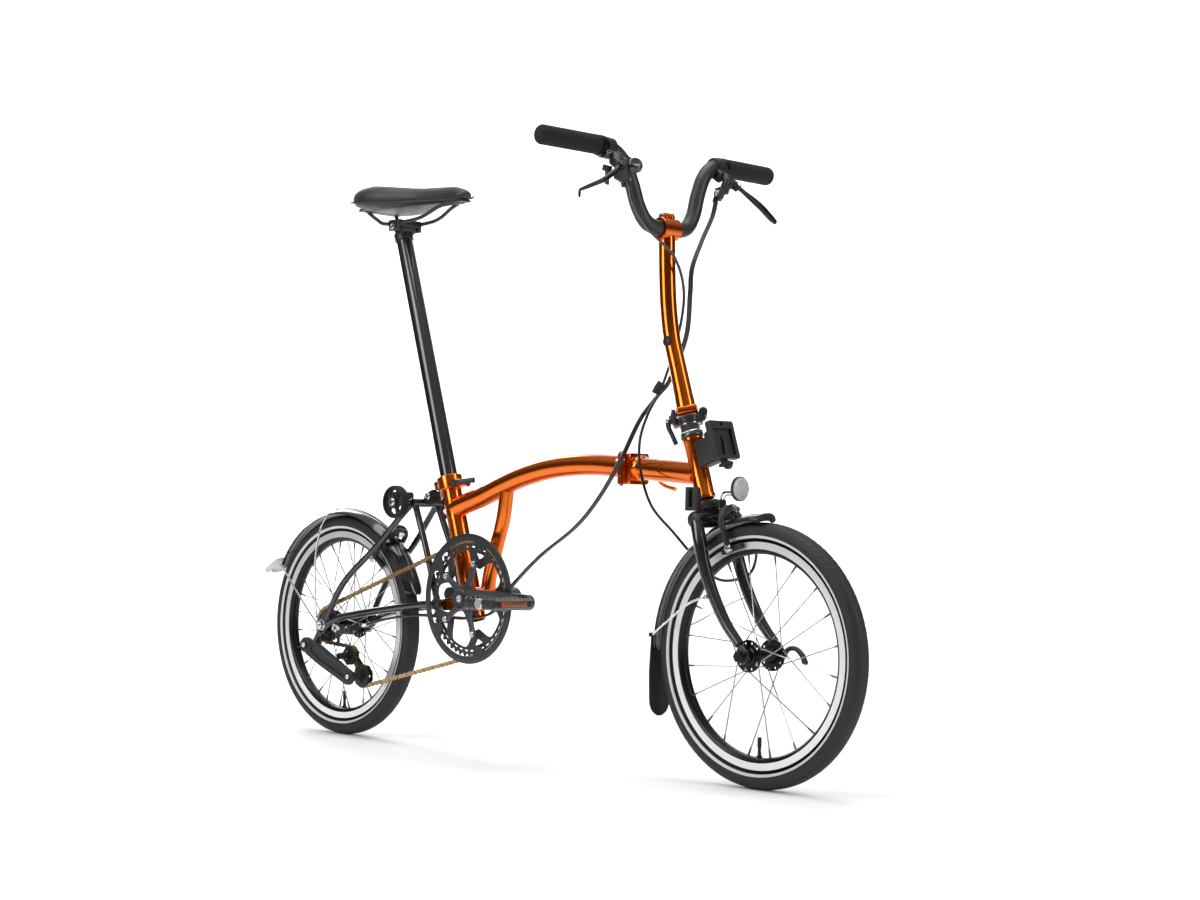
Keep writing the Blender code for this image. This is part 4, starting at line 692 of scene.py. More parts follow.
piece("carrier_block_latch", [
    block(head_place(490, 57), (20, 16, 5.5), HEAD_TURN, 1.8),
    block(head_place(497, 55), (8, 12, 18), HEAD_TURN, 2.0),
    lathe([(0.1, -5), (5.4, -5), (7.2, -3.4), (7.4, 0), (7.2, 3.4), (5.4, 5), (0.1, 5)], head_place(488, 61),
          Y_AXIS,
          28, False),
], CASTING, "front_frame")

# ---- fork and headset -------------------------------------------------------------------------
def head_ring(z, profile, steps=48, ring=True):
    return lathe(profile, on_head(z), HEAD_UP, steps, ring)


FORK_LEG = [(938, 35, 414), (950, 41, 389), (961, 42, 350), (980, 42, 305), (1008, 42, 259), (1038, 42, 226)]
fork_lumps = []
for side in (-1, 1):
    leg = [(x, side * y, z) for x, y, z in FORK_LEG]
    fork_lumps.append(pipe(route(leg, 10), [11.0, 11.0, 10.4, 10.0, 9.0, 8.0], 32))
    drop = rounded([(1031, 232), (1036, 216), (1034, 199), (1047, 195), (1056, 204), (1056, 214),
                    (1046, 224)], 3.5)
    low, high = sorted((side * 38.4, side * 44.0))
    fork_lumps.append(side_slab(drop, low, high))
fork_lumps.append(pipe(route([(936.5, -39.5, 418), (936.5, 0, 419), (936.5, 39.5, 418)], 8), 14.0, 40))
fork_lumps.append(head_ring(432, [(0.1, -12), (15, -12), (17.4, -6), (18.0, 0), (18.0, 3), (0.1, 3)],
                            ring=False))
piece("fork_legs_enamel", fork_lumps, ENAMEL, "fork", ["fork"])
piece("fork_crown_caps", [
    lathe([(0.1, 3.4), (5.0, 3.2), (8.6, 2.4), (12.6, 0.4), (13.4, -2), (13.4, -4)],
          at(936.5, side * 41.0, 418), Y_AXIS * side, 40, False) for side in (-1, 1)
], PLASTIC, "fork")
piece("headset_races", [
    head_ring(441,
              [(14, -5), (17.6, -5), (18.0, -4), (18.0, 1), (19.0, 2), (19.0, 5.6), (17.6, 6.4), (14, 6.4)]),
    head_ring(553, [(14, -3.4), (18.2, -3.4), (18.6, -2), (18.6, 3), (16.6, 5.6), (14, 5.6)]),
    head_ring(564.5, [(13.4, -6), (16.6, -6), (16.6, 6), (15.8, 6.6), (13.4, 6.6)], 6),
], DARK_STEEL, "fork")
piece("headset_washers", [
    head_ring(558.2, [(13.2, -0.9), (18.8, -0.9), (19.2, 0), (18.8, 0.9), (13.2, 0.9)]),
    head_ring(571.4, [(13.2, -0.9), (17.4, -0.9), (17.4, 0.9), (13.2, 0.9)]),
], SILVER, "fork")


def stem_plate(z, size, bevel=2.0, shift=0.0, up=0.0):
    return block(on_head(z) + STEM_SIDE * shift * MM + HEAD_UP * up * MM, size, STEM_TURN, bevel)


def stem_pin_place(along, radius, length, sides=32):
    start = STEM_PIN + STEM_FOLD_AXIS * (along - length / 2) * MM
    return rod(start, start + STEM_FOLD_AXIS * length * MM, radius, sides)


piece("stem_hinge_base", [
    stem_plate(577.6, (36, 34, 12.6), 3.2),
    head_ring(577.6, [(0.1, -6), (19.6, -6), (20.6, -5), (20.6, 5), (19.6, 6), (0.1, 6)], ring=False),
    stem_pin_place(0, 7.4, 14.4),
    block(STEM_PIN - STEM_SIDE * 0.004 - HEAD_UP * 0.004, (13, 14.4, 15), STEM_TURN, 1.8),
    block(on_head(577.6) + STEM_SIDE * 0.019, (8, 32, 15), STEM_TURN, 2.4),
], CASTING, "fork")
piece("front_axle_nut", [
    across(FRONT_AXLE[0], FRONT_AXLE[1], -52.5, 49, 5.0),
    lathe([(5.2, -1.5), (9.6, -1.5), (9.6, 1.0), (8.4, 1.8), (5.2, 1.8)], at(FRONT_AXLE[0], -46.2, 208),
          -Y_AXIS, 32),
    nut(at(FRONT_AXLE[0], -51.2, 208), Y_AXIS, 9.2, 9.0),
    lathe([(5.2, 0), (9.2, 0), (9.6, 1), (9.6, 5.2), (7.6, 6.4), (5.2, 6.4)], at(FRONT_AXLE[0], 44.6, 208),
          Y_AXIS, 32),
], ANODISED, "fork", ["front_axle"])
QR_AXIS = Vector((0.3, 0.0, 0.954))
eye = at(1045, 57, 208)
piece("front_quick_release_lever", [
    lathe([(0.1, -6), (4.8, -6), (5.5, -5), (5.5, 5), (4.8, 6), (0.1, 6)], eye, QR_AXIS, 28, False),
    pipe(smooth([eye + Vector(p) * MM
                 for p in ((0, 0, 0), (3, 7, 8), (14, 11, 9), (28, 10, 0), (38, 7, -14))], 8),
         [5.0, 4.4, 4.0, 4.6, 5.0], 24, flat=0.75),
], CASTING, "quick_release", ["front_quick_release"])

# front reflector on its wire, and the catch for the folded bar
piece("front_reflector_lens", [
    lathe([(0.1, 5.0), (9, 4.6), (16, 3.0), (18.6, 0.6), (18.9, -2.0), (0.1, -2.0)], at(998.6, 0, 468),
          X_AXIS, 48,
          False),
    *[block(at(1003.0 - 0.010 * y * y, y, 468), (2.6, 2.0, 2 * math.sqrt(18.0 ** 2 - y ** 2) - 2), bevel=0.8)
      for y in np.arange(-14.4, 14.5, 3.6)],
], LENS, "fork", ["front_reflector"])
piece("front_reflector_housing", [
    lathe([(18.9, 1.2), (19.7, 0.8), (19.7, -3.4), (17.0, -5.0), (0.1, -5.0), (0.1, -2.4), (18.9, -2.2)],
          at(998.6, 0, 468), X_AXIS, 48, False),
    block(at(958, 0, 444), (11, 15, 14), bevel=2.0),
], PLASTIC, "fork")
piece("front_reflector_wire", [
    pipe(route([(957, 0, 450), (962, 0, 461), (973, 0, 463), (993, 0, 462)], 8), 2.2, 16),
    pipe(route([(957, 6, 449), (963, 7, 458), (975, 7, 458), (992, 5, 457)], 8), 1.4, 12),
], SILVER, "fork")
catch = [block(at(931, -36, 435.5), (24, 15, 6.4), bevel=1.6)]
fin = rounded([(-4, 437), (4, 437), (4.5, 465), (2.0, 470.5), (-3.6, 470.5)], 2.0)
for offset in (-7.5, 7.5):
    moved = [(931 + offset + x, z) for x, z in fin]
    catch.append(side_slab(moved, -43.5, -30.5, (), 1.2))
piece("handlebar_catch_fins", catch, PLASTIC, "fork", ["handlebar_catch"])


# ---- mudguards --------------------------------------------------------------------------------
def mudguard_blade(axle, start, end, half_width=22.0, thick=1.5, step=1.5):
    """A blade that arches over the tyre: a curved section swept round the axle, with rounded ends."""
    outer, inner = [], []
    for i in range(21):
        y = -half_width + 2 * half_width * i / 20
        lip = 219.6 - 9.0 * (abs(y) / half_width) ** 2.4
        outer.append((lip + thick / 2, y))
        inner.append((lip - thick / 2, y))
    loop = outer + inner[::-1]
    count = int((end - start) / step) + 1
    verts = []
    for i in range(count):
        degrees = start + (end - start) * i / (count - 1)
        edge = min(degrees - start, end - degrees) / 5.0
        narrow = 1.0 if edge >= 1.0 else 0.62 + 0.38 * math.sqrt(max(0.0, 1 - (1 - edge) ** 2))
        for radius, y in loop:
            verts.append(on_wheel(axle, radius, degrees, y * narrow))
    width = len(loop)
    faces = grid_faces(count, width, False, True)
    half = width // 2
    for row in (0, count - 1):
        for i in range(half - 1):
            quad = (row * width + i, row * width + i + 1, row * width + width - 2 - i,
                    row * width + width - 1 - i)
            faces.append(quad if row else quad[::-1])
    return verts, faces


def mudguard_rib(axle, start, end):
    """The shallow bead pressed along the blade's middle."""
    points = [on_wheel(axle, 220.0, start + (end - start) * i / 60) for i in range(61)]
    return pipe(points, 1.7, 12)


def flap(rows, across_line, thick, hollow):
    """A soft sheet as (verts, faces): rows are (centre, outward, half width), each row arched by hollow."""
    verts = []
    for centre, outward, half_width in rows:
        for side in (1, -1):
            for j in range(9):
                y = (-1 + j / 4) * side
                lift = (side * thick - hollow * y * y) * MM
                verts.append(centre + outward * lift + across_line * half_width * y)
    faces = grid_faces(len(rows), 18, False, True)
    for row in (0, len(rows) - 1):
        for j in range(8):
            quad = (row * 18 + j, row * 18 + j + 1, row * 18 + 16 - j, row * 18 + 17 - j)
            faces.append(quad if row else quad[::-1])
    return verts, faces


def round_end(share, start):
    """How wide a flap is at a share of its length: full, then closing in a half circle from start on."""
    return math.sqrt(max(0.02, 1 - max(0.0, (share - start) / (1 - start)) ** 2))


piece("front_mudguard_blade", [mudguard_blade(FRONT_AXLE, 86, 181), mudguard_rib(FRONT_AXLE, 92, 176)],
      ENAMEL,
      "fork", ["front_mudguard"])
front_rows = []
for i in range(25):
    share = i / 24
    place = at(821.6 + 2.6 * share * share, 0, 232 - 134 * share)
    front_rows.append((place, -X_AXIS, (18.0 + 5.0 * min(1.0, share * 2.2)) * round_end(share, 0.80) * MM))
piece("front_mudguard_flap", [flap(front_rows, Y_AXIS, 1.3, 5.0)], RUBBER, "fork")
piece("front_mudguard_nose", [
    pipe([on_wheel(FRONT_AXLE, 217.6 - 6.0 * abs(y) ** 2.4, 86.8 + 1.8 * y * y, 18.5 * y)
          for y in np.linspace(-1, 1, 21)], 5.4, 20),
], RUBBER, "fork")
FRONT_STAY = [(980, 55, 298), (940, 53, 286), (880, 39, 254), (838, 24, 233), (825, 11, 229)]
REAR_STAY = [(-14, 61, 214), (-60, 50, 240), (-130, 34, 284), (-182, 23, 320), (-192, 12, 318)]


def make_stay(points, middle, radius):
    """A wire stay: both sides and the bend that joins them behind the blade."""
    wires = [pipe(route([(x, side * y, z) for x, y, z in points], 8), radius, 14) for side in (-1, 1)]
    x, y, z = points[-1]
    return wires + [pipe(route([(x, -y, z), middle, (x, y, z)], 6), radius, 14)]


piece("front_mudguard_stays", make_stay(FRONT_STAY, (822, 0, 228), 1.8)
      + [bolt(at(978, side * 57.5, 297.5), Y_AXIS * side, 4.2, 3.0) for side in (-1, 1)],
      SILVER, "fork")
piece("front_stay_clip", [block(at(821, side * 14, 230), (5, 8, 7), bevel=1.4) for side in (-1, 1)], PLASTIC,
      "fork")
piece("rear_mudguard_blade", [mudguard_blade(REAR_AXLE, 17, 152), mudguard_rib(REAR_AXLE, 23, 147)], ENAMEL,
      "rear_frame", ["rear_mudguard"])
lift = Vector((-0.50, 0.0, 0.87))
tail = []
for i in range(21):
    share = i / 20
    tail.append((at(-190 - 56 * share, 0, 330 - 34 * share + 8 * share * share), lift,
                 29.0 * round_end(share, 0.45) * MM))
piece("rear_mudguard_tail", [flap(tail, Y_AXIS, 1.2, 4.0)], CLEAR_SHEET, "rear_frame")
REAR_UPPER_STAY = [(-12, 62, 222), (-24, 56, 262), (-42, 44, 330), (-44, 32, 388), (-32, 23.5, 418)]
piece("rear_mudguard_stays",
      make_stay(REAR_STAY, (-196, 0, 317), 1.7) + make_stay(REAR_UPPER_STAY, (-31, 0, 427.5), 1.7),
      SILVER, "rear_frame")


# ---- rear frame -------------------------------------------------------------------------------
CHAINSTAY = [(303, 258, 31), (270, 257, 31.5), (200, 249, 32), (120, 238, 32), (80, 231, 41), (48, 224, 51),
             (14, 212, 54)]
SEATSTAY = [(12, 222, 54), (40, 268, 53), (73, 305, 50), (146, 362, 43), (194, 409, 36), (226, 439, 30)]
FRONT_STAY_TUBE = [(234, 434, 27), (254, 392, 29), (274, 347, 31), (303, 266, 31)]
rear_lumps = []
for side in (-1, 1):
    rear_lumps.append(pipe(route(mirrored(CHAINSTAY, side), 8), 7.0, 32))
    rear_lumps.append(pipe(route(mirrored(SEATSTAY, side), 8), 6.0, 32))
    rear_lumps.append(pipe(route(mirrored(FRONT_STAY_TUBE, side), 8), 6.0, 32))
    rear_lumps.append(lathe([(5.4, -6), (10.4, -6), (11, -5.2), (11, 5.2), (10.4, 6), (5.4, 6)],
                            at(PIVOT[0], side * 29.4, PIVOT[1]), Y_AXIS, 36))
    drop = rounded([(22, 226), (6, 231), (-9, 222), (-12, 206), (-6, 193), (6, 191), (10, 200), (20, 204)],
                   4.0)
    low, high = sorted((side * 51.0, side * 57.0))
    rear_lumps.append(side_slab(drop, low, high, [circle(0, 208, 5.2, 24)[::-1]]))
hanger = rounded([(-8, 206), (-20, 190), (-36, 166), (-30, 160), (-18, 160), (-8, 172), (2, 196)], 4.5)
rear_lumps.append(side_slab(hanger, -57, -51))
rear_lumps.append(across(232, 441, -34, 34, 8.0))
rear_lumps.append(across(262, 257, -32, 32, 6.0))
rear_lumps.append(block(at(226, 0, 442), (22, 57, 11.6), bevel=3.0))
rear_lumps.append(across(ROLLER[0], ROLLER[1], -74, 74, 4.0))
rear_lumps.append(across(TENSIONER[0], TENSIONER[1], -69.5, -52, 6.0))
piece("rear_frame_enamel", rear_lumps, ENAMEL, "rear_frame", ["rear_triangle"])
cone_start, cone_end = at(238, 0, 447), at(256, 0, 454)
cone_axis = (cone_end - cone_start).normalized()
piece("suspension_elastomer", [
    lathe([(0.1, -2), (9.6, -2), (10.6, 0), (11.6, 4), (11.0, 6.5), (12.6, 9), (13.0, 13), (12.2, 15.5),
           (13.0, 18),
           (12.4, 20), (0.1, 20)], cone_start, cone_axis, 48, False),
], RUBBER, "rear_frame", ["suspension_block"])
piece("suspension_bolt", [
    across(252, 453, -16, 16, 3.4), bolt(at(252, -17.4, 453), -Y_AXIS, 6.0, 2.6),
    bolt(at(252, 17.4, 453), Y_AXIS, 6.0, 2.6),
], SILVER, "rear_frame")
piece("rear_reflector_lens", [
    front_plate(-24.5, 24.5, 436.5, 459.5, 153.8, 157.0, 5.0),
    *[block(at(154.2, y, 448), (1.6, 1.7, 20), bevel=0.5) for y in np.arange(-21, 22, 3.5)],
], RED_LENS, "rear_frame", ["rear_reflector"])
piece("rear_reflector_holder", [
    front_plate(-26, 26, 435, 461, 157.0, 164.4, 5.5),
    block(at(172, 0, 440), (18, 30, 8), bevel=2.0), block(at(190, 0, 440), (24, 14, 5), bevel=1.4),
], PLASTIC, "rear_frame")
piece("rear_axle_nuts", [
    across(0, 208, -69.5, 67.5, 5.0), nut(at(0, -61.8, 208), Y_AXIS, 9.2, 8.4),
    nut(at(0, 61.8, 208), Y_AXIS, 9.2, 8.4),
    *[lathe([(5.2, -0.8), (10.4, -0.8), (10.4, 0.8), (5.2, 0.8)], at(0, y, 208), Y_AXIS, 32)
      for y in (-57.9, 57.9)],
], SILVER, "rear_frame", ["rear_axle"])


def make_roller(name, side):
    centre = at(ROLLER[0], side * 62, ROLLER[1])
    spin_body = name + "_roller"
    cuts = []
    for i in range(5):
        a = math.radians(72 * i)
        wedge = [(13 * math.cos(a + 0.24), 13 * math.sin(a + 0.24)),
                 (21.6 * math.cos(a + 0.16), 21.6 * math.sin(a + 0.16)),
                 (22.6 * math.cos(a + 0.63), 22.6 * math.sin(a + 0.63)),
                 (21.6 * math.cos(a + 1.10), 21.6 * math.sin(a + 1.10)),
                 (13 * math.cos(a + 1.02), 13 * math.sin(a + 1.02))]
        cuts.append([(ROLLER[0] + x, ROLLER[1] + z) for x, z in rounded(wedge, 2.2)][::-1])
    cuts.append(circle(ROLLER[0], ROLLER[1], 4.6, 24)[::-1])
    disc = side_slab(circle(ROLLER[0], ROLLER[1], 26.5, 64), side * 62 - 3.0, side * 62 + 3.0, cuts)
    hub = lathe([(4.6, -7.6), (9.0, -7.6), (10.2, -5), (10.2, 5), (9.0, 7.6), (4.6, 7.6)], centre, Y_AXIS, 36)
    piece(spin_body + "_wheel", [disc, hub], PLASTIC, spin_body, [spin_body])
    tyre = [(25.4, -7.4), (28.6, -7.6), (29.8, -5.6), (30.0, -2.4), (29.2, 0), (30.0, 2.4), (29.8, 5.6),
            (28.6, 7.6),
            (25.4, 7.4)]
    piece(spin_body + "_tread", [lathe(tyre, centre, Y_AXIS, 64)], RUBBER, spin_body)
    cap = at(ROLLER[0], side * 71.4, ROLLER[1])
    piece(spin_body + "_bolt", [bolt(cap + Y_AXIS * side * 0.0032, Y_AXIS * side, 6.4, 3.4, 0.42),
                                lathe([(4.2, -0.6), (8.4, -0.6), (8.4, 0.6), (4.2, 0.6)], cap, Y_AXIS, 28)],
          SILVER, "rear_frame")


make_roller("left", 1)
make_roller("right", -1)


# ---- rim brakes -------------------------------------------------------------------------------
BRAKE_ARM = [(236, -16), (237, 0), (234, 16), (222, 29), (206, 31), (186, 29), (172, 27)]
BRAKE_STAGGER = 5.2


def make_brake(end, axle, degrees, frame_body):
    angle = math.radians(degrees)
    tangent = Vector((-math.sin(angle), 0.0, math.cos(angle)))

    def place(radius, y, along=0.0):
        return on_wheel(axle, radius, degrees, y) + tangent * along * MM

    for name, side in (("left", 1), ("right", -1)):
        body_name = end + "_brake_" + name + "_arm"
        stagger = BRAKE_STAGGER * side
        points = smooth([place(r, side * y, stagger) for r, y in BRAKE_ARM], 8)
        arm = pipe(points, [4.6, 7.6, 7.0, 6.0, 5.6, 5.4, 6.2], 24, flat=0.85)
        boss = lathe([(3.0, -4.4), (8.0, -4.4), (8.6, -3.6), (8.6, 3.6), (8.0, 4.4), (3.0, 4.4)],
                     place(236, 0, stagger), tangent, 36)
        piece(body_name + "_casting", [arm, boss], CASTING, body_name, [body_name])
        shoe = place(171.5, side * 24.0, stagger)
        inward = Y_AXIS * -side
        trim = [rod(shoe - inward * 0.008, shoe + inward * 0.003, 3.4, 24),
                bolt(shoe - inward * 0.0098, -inward, 4.8, 3.0),
                lathe([(3.4, -0.8), (6.4, -0.8), (6.8, 0), (6.4, 0.8), (3.4, 0.8)], shoe - inward * 0.0062,
                      Y_AXIS, 28)]
        piece(body_name + "_shoe_bolt", trim, SILVER, body_name)
        turn = turned(tangent, Y_AXIS, tangent.cross(Y_AXIS))
        holder = block(place(171.5, side * 19.8, stagger), (44, 3.6, 8.6), turn, 1.4)
        piece(body_name + "_shoe", [holder], CASTING, body_name)
        pad = [block(place(171.5, side * 15.6, stagger + shift), (13.2, 4.4, 7.8), turn, 1.0)
               for shift in (-14.6, 0.0, 14.6)]
        piece(body_name + "_pad", pad, RUBBER, body_name)
    head = place(236, 0, 0) + tangent * 0.0112
    tail_end = place(236, 0, 0) - tangent * 0.0112
    piece(end + "_brake_bolt",
          [rod(tail_end, head, 3.0, 20), bolt(head + tangent * 0.0022, tangent, 6.0, 3.2),
                                bolt(tail_end - tangent * 0.0022, -tangent, 6.0, 3.2)],
          SILVER, frame_body)


make_brake("front", FRONT_AXLE, 107, "fork")
make_brake("rear", REAR_AXLE, 50, "rear_frame")


# ---- stem, handlebar and controls -------------------------------------------------------------
STEM_ROUTE = [(880.6, 0, 594), (875, 0, 615), (860, 0, 665), (845, 0, 715), (837, 0, 765), (833, 0, 820),
              (831, 0, 884)]
BAR_CLAMP = (831.0, 894.0)
BAR_HALF = [(831, 0, 894), (831, 22, 894), (830, 48, 901), (828, 66, 925), (826, 78, 958), (824, 94, 990),
            (821, 118, 1010), (818, 150, 1015), (815, 210, 1016), (813, 268, 1016)]
piece("stem_tube_lacquer", [
    pipe(route(STEM_ROUTE, 12), [16.8, 15.2, 14.2, 14.0, 14.0, 14.0, 14.0], 48),
    stem_plate(593.4, (35.6, 34, 12.6), 3.2),
    lathe([(14.2, -19), (17.6, -19), (18.4, -18), (18.5, 0), (18.4, 18), (17.6, 19), (14.2, 19)],
          at(BAR_CLAMP[0], 0, BAR_CLAMP[1]), Y_AXIS, 48),
    block(at(831, -6.4, 912), (15.4, 7.6, 17), bevel=2.4),
    block(at(831, 6.4, 912), (15.4, 7.6, 17), bevel=2.4),
], ORANGE, "stem", ["stem"])
piece("stem_clamp_bolt", [
    rod(at(831, -14, 914), at(831, 14, 914), 3.0, 20), bolt(at(831, -15.4, 914), -Y_AXIS, 5.4, 4.0),
    nut(at(831, 12.6, 914), Y_AXIS, 5.6, 4.4),
], SILVER, "stem")
piece("stem_knuckles", [
    stem_pin_place(-12.2, 7.2, 8.4), stem_pin_place(12.2, 7.2, 8.4), stem_pin_place(0, 3.0, 36, 20),
    bolt(STEM_PIN + STEM_FOLD_AXIS * 0.0192, STEM_FOLD_AXIS, 4.6, 2.6),
    bolt(STEM_PIN - STEM_FOLD_AXIS * 0.0192, -STEM_FOLD_AXIS, 4.6, 2.6),
], CASTING, "stem")
grommet = at(847.5, -14.2, 708)
piece("stem_grommet", [
    lathe([(3.4, 0.6), (5.2, 1.4), (7.8, 1.0), (8.8, 0.0), (8.8, -1.8), (3.4, -1.8)], grommet, -Y_AXIS, 32),
    lathe([(0.1, -0.4), (3.8, -0.4), (3.8, -1.2), (0.1, -1.2)], grommet, -Y_AXIS, 20, False),
], RUBBER, "stem")
clamp_middle = on_head(STEM_BASE_Z) - STEM_SIDE * 0.022
down = -HEAD_UP * MM
outward = -STEM_SIDE * MM
piece("stem_clamp_plate", [
    block(clamp_middle, (6.8, 27, 27), STEM_TURN, 2.4),
    block(clamp_middle + outward * 2.4, (5, 20, 19), STEM_TURN, 2.0),
    nut(clamp_middle + outward * 6.2, STEM_SIDE, 7.6, 5.0),
    pipe(smooth([clamp_middle + outward * 10, clamp_middle + outward * 12 + down * 12,
                 clamp_middle + outward * 9 + down * 26, clamp_middle + outward * 6 + down * 42], 8),
         [6.0, 4.6, 4.2, 4.4], 24, flat=0.75),
], CASTING, "stem_clamp", ["stem_clamp"])
piece("stem_clamp_stud", [rod(clamp_middle, clamp_middle + outward * 13, 3.4, 20),
                          bolt(clamp_middle + outward * 14.5, -STEM_SIDE, 5.2, 3.0)],
      SILVER, "stem_clamp")

bar_left = [(x, y, z) for x, y, z in BAR_HALF]
bar_right = [(x, -y, z) for x, y, z in reversed(BAR_HALF[1:])]
bar_lumps = [pipe(route(bar_right + bar_left, 10), 12.7, 40)]
piece("handlebar_tube", bar_lumps, BAR_PAINT, "stem", ["handlebar"])


def bar_ring(y_from, y_to, radius, side):
    """A ring round the grip end of the bar."""
    low, high = sorted((side * y_from, side * y_to))
    half = (high - low) / 2
    profile = [(12.6, -half), (radius - 0.8, -half), (radius, 0.8 - half), (radius, half - 0.8),
               (radius - 0.8, half), (12.6, half)]
    return lathe(profile, at(818.6, (low + high) / 2, 1014.6), Y_AXIS, 40)


LEVER_PIVOT = (860.0, 137.0, 978.0)
BLADE_OFFSETS = [(-4, -4, 4), (0, 2, 0), (6, 24, -14), (10, 52, -30), (6, 78, -42), (4, 96, -50)]


def make_grip(name, side):
    start, end = at(818.2, side * 148, 1015.2), at(812.7, side * 275, 1016.2)
    length = (end - start).length / MM
    profile = [(0.1, 2.6), (14.2, 2.6), (15.4, 3.2), (16.0, 4.8)]
    for i in range(26):
        profile.append((16.0 - (0.16 if i % 2 else 0.0), 6.0 + i * (length - 16) / 26))
    for i in range(9):
        a = math.radians(90 * i / 8)
        profile.append((6.4 + 9.6 * math.cos(a), length - 8.6 + 8.6 * math.sin(a)))
    profile.append((0.1, length))
    piece(name + "_grip_foam", [lathe(profile, start, end - start, 56, False)], FOAM, "stem",
          [name + "_grip"])


def make_controls(name, side):
    """One end of the bar: the clamp, the lever's body with its cable stops, the blade and the grip."""
    x, y, z = LEVER_PIVOT
    drop = Matrix.Rotation(math.radians(35), 4, "Y")
    steep = Matrix.Rotation(math.radians(22), 4, "Y")
    pivot_axis = Vector((0.744, 0.2148 * side, 0.478))
    body_lumps = [
        lathe([(12.6, -10), (16.4, -10), (17.6, -8.6), (17.6, 8.6), (16.4, 10), (12.6, 10)],
              at(819.4, side * 131.5, 1012.2), Vector((-0.05, 1.0, 0.06 * side)), 40),
        block(at(837, side * 130, 997), (36, 17, 15), drop, 4.0, 0.85),
        block(at(832, side * 122, 998), (20, 10, 20), drop, 3.0),
        block(at(850, side * 133, 984), (22, 21, 15), drop, 4.5),
        block(at(849, side * 123, 979), (15, 15, 30), steep, 4.5, 0.9),
        block(at(843, side * 116, 966), (10, 9, 22), steep, 3.0),
        rod(at(850, side * 117, 972), at(849, side * 110, 956), 4.6, 20),
        rod(at(839, side * 113, 966), at(837, side * 108, 950), 4.2, 20),
    ]
    if side < 0:
        body_lumps += [block(at(850, side * 125, 973), (19, 21, 34), steep, 6.0, 0.88),
                       block(at(844, side * 131, 988), (22, 20, 20), drop, 6.0)]
    piece(name + "_lever_housing", body_lumps, CASTING, "stem")
    piece(name + "_housing_bolts", [
        bolt(at(817, side * 137.5, 1031.0), Vector((0.0, 0.1 * side, 1.0)), 4.2, 3.0),
        bolt(at(837, side * 142.5, 1003.0), Vector((0.6, 0.5 * side, 0.6)), 4.4, 5.0),
        bolt(at(858, side * 124, 986.0), Vector((0.9, -0.1 * side, 0.4)), 3.2, 2.4),
        bolt(at(857, side * 122, 973.0), Vector((0.95, -0.1 * side, 0.2)), 2.8, 2.4),
        rod(at(849, side * 110.4, 957), at(848.6, side * 108, 952), 3.4, 20),
    ], DARK_STEEL, "stem")
    piece(name + "_grip_collar", [bar_ring(142.6, 150.3, 16.8, side)], ANODISED, "stem")
    route_points = [at(x + dx, side * (y + dy), z + dz) for dx, dy, dz in BLADE_OFFSETS]
    if side > 0:
        blade = [pipe(smooth(route_points, 10), [6.0, 5.0, 5.0, 7.2, 8.0, 7.8, 5.8], 24, flat=0.72,
                      up=pivot_axis)]
    else:
        tip = route_points[-1]
        loop = [tip + Vector((5.4 * math.sin(a) * 0.3, -5.4 * math.sin(a) * 0.5,
                              -5.2 + 5.2 * math.cos(a))) * MM
                for a in np.linspace(0, 2 * math.pi, 20, endpoint=False)]
        blade = [pipe(smooth(route_points, 10), [6.4, 5.6, 4.6, 4.6, 4.2, 3.6, 2.6], 24, flat=0.62,
                      up=pivot_axis),
                 pipe(loop, 1.5, 10, closed=True)]
    knob = lathe([(2.4, -6.4), (6.6, -6.0), (7.4, -4), (7.4, 4), (6.6, 6.0), (2.4, 6.4)], at(x, side * y, z),
                 pivot_axis, 32)
    piece(name + "_brake_blade", blade + [knob], ANODISED, name + "_brake_lever", [name + "_brake_lever"])
    piece(name + "_blade_pivot", [bolt(at(x, side * y, z) + pivot_axis * 0.0082, pivot_axis, 4.6, 3.0)],
          SILVER if side > 0 else DARK_STEEL, name + "_brake_lever")
    make_grip(name, side)


make_controls("left", 1)
make_controls("right", -1)
dome = [(0.1, 9.6), (6.5, 9.2), (9.0, 9.9), (10.4, 9.4), (12.2, 6.6), (13.2, 3.2), (13.4, 0.6), (13.4, -1.0),
        (12.4, -1.6), (0.1, -1.6)]
BELL_AXIS = Vector((0.78, -0.34, 0.52)).normalized()
bell_place = at(861, -109, 981)
piece("bell_dome", [lathe(dome, bell_place, BELL_AXIS, 48, False)], ENAMEL, "stem")
piece("bell_bracket", [
    lathe([(0.1, -1.8), (9.0, -1.8), (9.0, -8.0), (0.1, -8.0)], bell_place, BELL_AXIS, 32, False),
    lathe([(12.8, -4.5), (15.2, -4.5), (15.6, -3.8), (15.6, 3.8), (15.2, 4.5), (12.8, 4.5)],
          at(823.8, -95, 990.5),
          Vector((-0.10, -0.62, 0.78)), 36),
    rod(at(854, -105, 982), at(826, -96, 990), 4.0, 20),
], CASTING, "stem")
piece("gear_trigger_paddle", [
    rod(at(822, -130, 984), at(819, -130, 975), 8.0, 36),
    pipe(route([(820, -130, 979), (812, -122, 968), (806, -116, 958)], 8), [5.0, 4.4, 5.6, 6.0], 24,
         flat=0.55),
], PLASTIC, "gear_trigger", ["gear_trigger"])


